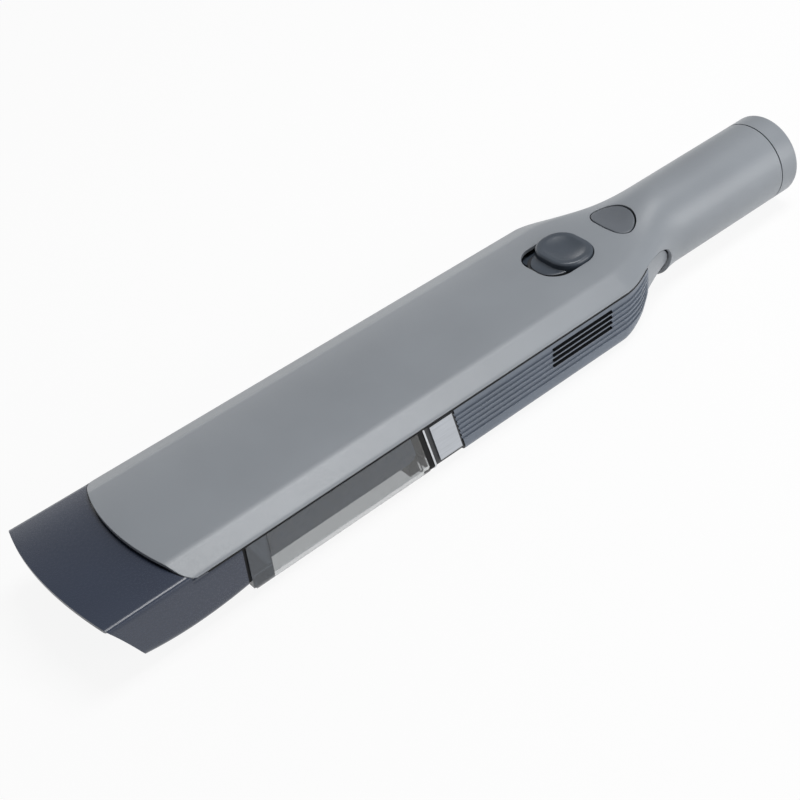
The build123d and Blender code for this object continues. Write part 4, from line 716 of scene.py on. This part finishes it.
def makeNozzle():
    # Sheet from the raked, bowed mouth to the step under the cover's tongue, then tucked to the seam.
    topTo, sideTo, cornerTo = nozzle["levels"]
    creaseFrom, creaseTo = nozzle["creaseBand"]
    share = np.concatenate([np.linspace(0, creaseFrom, 50), np.linspace(creaseFrom, creaseTo, 15)[1:],
                            np.linspace(creaseTo, sideTo, 18)[1:], np.linspace(sideTo, cornerTo, 9)[1:],
                            np.linspace(cornerTo, 1, 24)[1:]])
    share = np.concatenate([-share[:0:-1], share])
    side, share = np.sign(share)[None, :], np.abs(share)[None, :]
    y, z = nozzleOutline(np.full_like(share, nozzle["mouthPlan"]), share, 0.0)
    bow = nozzle["mouthRadius"] - np.sqrt(nozzle["mouthRadius"] ** 2 - y ** 2)
    mouth = nozzle["rake"] * (nozzle["mouthTop"] - z) + bow
    stepX = tongueFront(np.where(share <= topTo, y, y.max()), halfAt(cover["tipPlan"]), nozzle["step"])
    shown, hidden = np.linspace(0, 1, 26)[:, None], np.linspace(0, 1, 22)[:, None]
    x = np.concatenate([mouth + shown * (stepX - mouth), stepX + hidden * (nozzle["seam"] - stepX)])
    x[len(shown)] += nozzle["stepLean"]  # the step isn't quite upright
    tucked = np.concatenate([np.zeros_like(shown), np.ones_like(hidden)])
    y, z = nozzleOutline(x, share, tucked)
    points = np.stack([x, y * side, z], -1)
    quads = gridQuads(*points.shape[:2])
    points = points.reshape(-1, 3)
    middle, window = points[quads].mean(1), nozzle["window"]
    opened = (np.abs(middle[:, 1]) < window["half"]) & (middle[:, 0] > window["front"])
    opened &= middle[:, 2] > window["bottom"]  # lets the latch through
    piece = buildPiece("nozzleShell", points, quads[~opened], "nozzle_plastic", nozzle["wall"],
                       sharp=nozzle["sharp"])
    standIn(piece, "nozzle_shell", "nozzle")


ears = dict(x=70.0, z=3.6, radius=3.3, arc=(-165, 75), inner=20.0, outer=27.9, rootX=61.0, rootBack=68.3,
            rootZ=8.6, middle=(67.0, 5.6), across=(0, 0, 0.04, 0.96, 1, 1), scale=(0, 0.93, 1, 1, 0.93, 0))


def makeEar(name, fromY, toY):
    # a hub and its root block as one outline, carried across y with rounded rims and drawn in to close
    # the ends
    arc = np.radians(np.linspace(*ears["arc"], 40))
    outlineX = np.concatenate([[ears["rootX"]], ears["x"] + ears["radius"] * np.cos(arc), [ears["rootBack"]]])
    outlineZ = np.concatenate([[ears["rootZ"]], ears["z"] + ears["radius"] * np.sin(arc), [ears["rootZ"]]])
    outlineX, outlineZ = np.append(outlineX, outlineX[0]), np.append(outlineZ, outlineZ[0])
    across, scale = (np.array(ears[key], float)[:, None] for key in ("across", "scale"))
    middleX, middleZ = ears["middle"]
    points = np.stack(np.broadcast_arrays(
        middleX + (outlineX - middleX) * scale, fromY + (toY - fromY) * across,
        middleZ + (outlineZ - middleZ) * scale), -1)
    piece = buildPiece(name, points.reshape(-1, 3), gridQuads(*points.shape[:2]), "nozzle_plastic")
    faceOut(piece)
    standIn(piece, "nozzle_shell", "nozzle")


makeNozzle()
makeEar("hingeEarNear", -ears["outer"], -ears["inner"])
makeEar("hingeEarFar", ears["inner"], ears["outer"])

slider = dict(x=285.2, length=23.4, width=27.7, corner=10.7, top=41.4, side=37.0, base=34.6, round=1.5,
              edge=0.2, scoop=1.6, scoopEdge=0.86, scoopPowers=(3, 1.3),
              lipTop=38.3, lipReach=6.4, lipHalf=10.8, lipTuck=0.5, lipShare=(0, 0.2, 0.6, 0.9, 1, 1),
              lipFall=(0, 0.7, 0.9, 1.1, 1.3, 2.1), shadeSheetHalf=11.6, shadeSheetFall=(2.1, 2.1, 4.0),
              shadeSheetBelow=1.4, shadeSheetSlack=0.05, flangeLength=30.0, flangeWidth=32.0, flangeCorner=4.0,
              flangeZ=34.6, flangeTall=1.2, axisZ=36.0)


def rimReach(outline, steps=120, far=60.0):
    # how far an outline's rim lies from the origin, for directions all round, by halving
    angle = np.linspace(0, 2 * np.pi, steps + 1)
    low, high = np.zeros(angle.shape), np.full(angle.shape, far)
    for _ in range(40):
        reach = (low + high) / 2
        out = outline(reach * np.cos(angle), reach * np.sin(angle)) > 0
        low, high = np.where(out, low, reach), np.where(out, reach, high)
    return np.cos(angle)[None, :], np.sin(angle)[None, :], reach[None, :]


def frontEdge(y, centre, halfX, halfY, corner):
    # the front of a rounded rectangle as a station for each y
    over = np.clip(np.abs(y) - halfY + corner, 0, corner)
    return centre - halfX + corner - np.sqrt(corner ** 2 - over ** 2)


def makePad():
    # thumb pad: rings from the middle out to the rim, a quarter round there, then the upright side;
    # the top is a bowl with a flat border
    cos, sin, reach = rimReach(lambda a, b: roundedBox(
        a, b, slider["length"] / 2, slider["width"] / 2, slider["corner"]))
    rings = np.linspace(0, 1, 22)[:, None]
    bend = np.radians(np.linspace(0, 90, 9))[1:, None]
    flat = reach - slider["round"]
    away = np.concatenate([rings * flat, flat + slider["round"] * np.sin(bend), reach, reach])
    inner, outer = slider["scoopPowers"]
    bowl = slider["scoop"] * np.clip(1 - (rings / slider["scoopEdge"]) ** inner, 0, 1) ** outer
    z = np.concatenate([slider["top"] - bowl, slider["top"] - slider["round"] * (1 - np.cos(bend)),
                        [[slider["side"]], [slider["base"]]]])
    return np.stack(np.broadcast_arrays(slider["x"] + away * cos, away * sin, z), -1)


def makeFlange():
    # flat plate under the pad: middle, rim, rim lower down, middle lower down
    cos, sin, reach = rimReach(lambda a, b: roundedBox(
        a, b, slider["flangeLength"] / 2, slider["flangeWidth"] / 2, slider["flangeCorner"]))
    away, down = np.array([[0.0], [1], [1], [0]]) * reach, np.array([[0], [0], [1], [1]])
    z = slider["flangeZ"] - down * slider["flangeTall"]
    return np.stack(np.broadcast_arrays(slider["x"] + away * cos, away * sin, z), -1)


def makeLip():
    # lip that falls forward from the pad's front as a half ellipse in plan, and a black sheet that goes on
    # from its edge to the slot's front: painted shade, standing in for the dark gap inside the slot
    y = np.linspace(slider["shadeSheetHalf"], -slider["shadeSheetHalf"], 61)[None, :]
    tuck, half, slotHalf = slider["lipTuck"], slider["shadeSheetHalf"], slotHole["length"] / 2
    padX = frontEdge(y, slider["x"], slider["length"] / 2 - tuck, slider["width"] / 2 - tuck,
                     slider["corner"] - tuck)
    lipX = padX - slider["lipReach"] * np.sqrt(np.clip(1 - (y / slider["lipHalf"]) ** 2, 0, 1))
    inset = slotHole["width"] / 2 - half
    endX = np.minimum(frontEdge(y, slotHole["x"], slotHalf - inset, half, slotHole["corner"] - inset), lipX)
    share, fall, drop = (np.array(slider[key])[:, None] for key in ("lipShare", "lipFall", "shadeSheetFall"))
    lip = np.broadcast_arrays(padX + share * (lipX - padX), y, slider["lipTop"] - fall)
    shadeSheet = np.broadcast_arrays(np.concatenate([lipX, endX, endX]), y, slider["lipTop"] - drop)
    return np.stack(lip, -1), np.stack(shadeSheet, -1)


def makeSlider():
    # the pad, its flange, and the lip and the black shade sheet in front of it, as one piece
    lip, shadeSheet = makeLip()
    sheets = (makePad(), makeFlange(), lip, shadeSheet)
    starts = np.cumsum([0] + [sheet.shape[0] * sheet.shape[1] for sheet in sheets])
    quads = np.concatenate([gridQuads(*sheet.shape[:2], start) for sheet, start in zip(sheets, starts)])
    points = np.concatenate([sheet.reshape(-1, 3) for sheet in sheets])
    piece = buildPiece("sliderPad", points, quads, "slider_plastic", edge=slider["edge"],
                       axisZ=slider["axisZ"])
    piece.data.materials.append(finishes["inner_plastic"])  # painted shade: the sheet in front of the lip takes the black inner plastic, for the shade inside the slot
    middle = np.zeros(len(piece.data.polygons) * 3)
    piece.data.polygons.foreach_get("center", middle)
    x, y, z = middle.reshape(-1, 3).T * 1000 - np.array([[tipX], [0], [0]])
    edgeX = np.interp(y, shadeSheet[0, ::-1, 1], shadeSheet[0, ::-1, 0])
    # painted shade: the faces of the sheet between the flange and the lip are made black
    shadeSheetFaces = (z > slider["flangeZ"]) & (z < slider["lipTop"] - slider["shadeSheetBelow"])
    shadeSheetFaces &= x < edgeX + slider["shadeSheetSlack"]
    piece.data.polygons.foreach_set("material_index", shadeSheetFaces.astype(int))
    standIn(piece, "eject_slider", "slider")


makeSlider()

power = dict(x=319.0, clear=0.15, sink=0.15, round=0.5, dish=0.35, deep=3.0, axisZ=30.0)


def makePower():
    # Button cap: rings from the middle to the outline, following the cover's top with a slight dish,
    # a small round at the rim, then the upright side.
    cos, sin, reach = rimReach(lambda a, b: powerOutline(power["x"] + a, b, -power["clear"]))
    rings = np.linspace(0, 1, 18)[:, None]
    bend = np.radians(np.linspace(0, 90, 6))[1:, None]
    flat = reach - power["round"]
    away = np.concatenate([rings * flat, flat + power["round"] * np.sin(bend), reach])
    x, y = power["x"] + away * cos, away * sin
    drop = np.concatenate([power["dish"] * (1 - rings ** 2), power["round"] * (1 - np.cos(bend)),
                           [[power["deep"]]]])
    points = np.stack([x, y, coverTop(x, y) - power["sink"] - drop], -1)
    piece = buildPiece("powerCap", points.reshape(-1, 3), gridQuads(*points.shape[:2]), "button_plastic",
                       axisZ=power["axisZ"])
    standIn(piece, "power_button", "button")


makePower()

coils = dict(  # travel is how far the joint presses the coil, in mm like the wire
    sliderCoil=dict(node="slider_spring", joint="eject_slide", axis=0, travel=8.5, wire=0.5, turns=6),
    buttonCoil=dict(node="button_spring", joint="power_press", axis=2, travel=0.9, wire=0.5, turns=4))
coilSteps, wireSides = 28, 10  # steps in a turn, sides of the wire
leaf = dict(held=27.0, nub=2.5, steps=24)


def stationBox(node):
    # a CAD node's low and high corners as stations in mm
    return (np.array(corner) * 1000 - np.array([tipX, 0, 0]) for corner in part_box(node))


def makeCoil(name, node, joint, axis, travel, wire, turns):
    # wire carried round a helix that fills the CAD spring's box, drawn in to close its ends
    low, high = stationBox(node)
    way = np.roll(np.array([1.0, 0, 0]), axis)
    across, up = np.roll(way, 1), np.roll(way, 2)
    tall, steps = (high - low)[axis], turns * coilSteps + 1
    share = np.concatenate([[0], np.linspace(0, 1, steps), [1]])[:, None, None]
    thick = np.concatenate([[0], np.ones(steps), [0]])[:, None, None] * wire / 2
    around = np.linspace(0, 2 * np.pi, wireSides + 1)[None, :, None]
    angle = 2 * np.pi * turns * share
    radius = (high - low).dot(across) / 2 - wire / 2 + thick * np.cos(around)
    rise = wire / 2 - tall / 2 + share * (tall - wire) + thick * np.sin(around)
    points = (low + high) / 2 + radius * (np.cos(angle) * across + np.sin(angle) * up) + rise * way
    piece = buildPiece(name, points.reshape(-1, 3), gridQuads(*points.shape[:2]), "spring_steel")
    faceOut(piece)
    standIn(piece, node, "main_body")
    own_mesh(piece)


def makeLeaf(name, side):
    # half of the leaf spring over the release button, from its end to its middle
    low, high = stationBox("release_spring")
    size = np.concatenate([[0], np.ones(leaf["steps"] + 1), [0]])[:, None]
    along = np.concatenate([[1], np.linspace(1, 0, leaf["steps"] + 1), [0]])[:, None]
    x = (low[0] + high[0]) / 2 + size * np.array([[-1, 1, 1, -1, -1]]) * (high[0] - low[0]) / 2
    z = (low[2] + high[2]) / 2 + size * np.array([[-1, -1, 1, 1, -1]]) * (high[2] - low[2]) / 2
    points = np.stack(np.broadcast_arrays(x, side * along * high[1], z), -1)
    piece = buildPiece(name, points.reshape(-1, 3), gridQuads(*points.shape[:2]), "spring_steel")
    faceOut(piece)
    piece.data.shade_flat()
    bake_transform(piece)
    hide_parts("release_spring")


for name, coil in coils.items():
    makeCoil(name, **coil)
makeLeaf("leafNear", -1)
makeLeaf("leafFar", 1)

studio = dict(floorSize=60.0, floorDrop=0.0002, floorColour="#F4F4F4", floorGlow=0.9, floorGloss=1.0,
              skyLight=0.20, skyGloss=0.35)
lamps = dict(  # the top box is caught by the cover's facet, the back box lights the far edge
    topBox=dict(place=(0.32, -0.13, 1.20), aim=(0.32, -0.13, 0.0), size=(0.75, 0.40), watts=9.8),
    frontBox=dict(place=(0.75, -1.25, 0.45), aim=(0.0, 0.0, 0.02), size=(1.0, 0.8), watts=10.5),
    backBox=dict(place=(0.40, 1.40, 0.35), aim=(0.0, 0.0, 0.03), size=(1.2, 0.5), watts=3.0))
white = (1, 1, 1, 1)


def whiteShare(tree, glossShare):
    # how white a ray sees the surround: in full from the camera and through clear walls, a share in gloss
    path = addNode(tree, "ShaderNodeLightPath").outputs
    direct = addNode(tree, "ShaderNodeMath", {0: path["Is Camera Ray"], 1: path["Is Transmission Ray"]},
                     operation="MAXIMUM")
    gloss = addNode(tree, "ShaderNodeMath", {0: path["Is Glossy Ray"], 1: glossShare}, operation="MULTIPLY")
    return addNode(tree, "ShaderNodeMath", {0: direct.outputs[0], 1: gloss.outputs[0]}, operation="MAXIMUM")


def makeWorld():
    # soft light for the object, white for what the camera sees
    world = bpy.data.worlds.new("studioWorld")
    bpy.context.scene.world = world
    world.use_nodes = True
    tree = world.node_tree
    tree.nodes.clear()
    soft = addNode(tree, "ShaderNodeBackground", {"Color": white, "Strength": studio["skyLight"]})
    bright = addNode(tree, "ShaderNodeBackground", {"Color": white, "Strength": 1.0})
    seen = whiteShare(tree, studio["skyGloss"])
    mix = addNode(tree, "ShaderNodeMixShader", {0: seen.outputs[0], 1: soft.outputs[0], 2: bright.outputs[0]})
    addNode(tree, "ShaderNodeOutputWorld", {"Surface": mix.outputs[0]})


def makeFloor():
    # a wide sheet of white paper that glows to the camera and keeps a little of the object's shadow
    corner = np.array([[-1, -1, 0], [1, -1, 0], [1, 1, 0], [-1, 1, 0]]) * studio["floorSize"] / 2
    corner[:, 2] = cadBox[0][2] - studio["floorDrop"]
    mesh = bpy.data.meshes.new("studioFloor")
    mesh.from_pydata(corner.tolist(), [], [[0, 1, 2, 3]])
    floor = bpy.data.objects.new("studioFloor", mesh)
    bpy.context.collection.objects.link(floor)
    material = bpy.data.materials.new("paperSweep")
    material.use_nodes = True
    tree = material.node_tree
    tree.nodes.clear()
    paper = addNode(tree, "ShaderNodeBsdfDiffuse", {"Color": hexColour(studio["floorColour"])})
    glow = addNode(tree, "ShaderNodeEmission", {"Color": white, "Strength": 1.0})
    seen = whiteShare(tree, studio["floorGloss"])
    share = addNode(tree, "ShaderNodeMath", {0: seen.outputs[0], 1: studio["floorGlow"]},
                    operation="MULTIPLY")
    mix = addNode(tree, "ShaderNodeMixShader", {0: share.outputs[0], 1: paper.outputs[0], 2: glow.outputs[0]})
    addNode(tree, "ShaderNodeOutputMaterial", {"Surface": mix.outputs[0]})
    mesh.materials.append(material)


def makeLamps():
    # soft boxes, each turned to its aim
    for name, box in lamps.items():
        lamp = bpy.data.lights.new(name, "AREA")
        lamp.shape, lamp.energy = "RECTANGLE", box["watts"]
        lamp.size, lamp.size_y = box["size"]
        holder = bpy.data.objects.new(name, lamp)
        bpy.context.collection.objects.link(holder)
        holder.location = box["place"]
        holder.rotation_mode = "QUATERNION"
        holder.rotation_quaternion = (Vector(box["aim"]) - Vector(box["place"])).to_track_quat("-Z", "Y")


photoView = dict(lens=67.85, sensor=36.0, clip=(0.01, 20.0), place=(-0.32436, -0.43261, 0.45018),
                 right=(0.7626, -0.6351, -0.1233), up=(0.4862, 0.4368, 0.7568),
                 back=(-0.4268, -0.6371, 0.6419))


def makeCamera():
    # the photograph's own view and lens, as fitted to the object's outline
    data = bpy.data.cameras.new("photoCamera")
    data.lens, data.sensor_width = photoView["lens"], photoView["sensor"]
    data.clip_start, data.clip_end = photoView["clip"]
    camera = bpy.data.objects.new("photoCamera", data)
    bpy.context.collection.objects.link(camera)
    turn = Matrix([photoView[key] for key in ("right", "up", "back")]).transposed().to_4x4()
    camera.matrix_world = Matrix.Translation(photoView["place"]) @ turn
    bpy.context.scene.camera = camera


bpy.context.scene.view_settings.view_transform = "Standard"
makeWorld()
makeFloor()
makeLamps()
makeCamera()
print("studio ready")
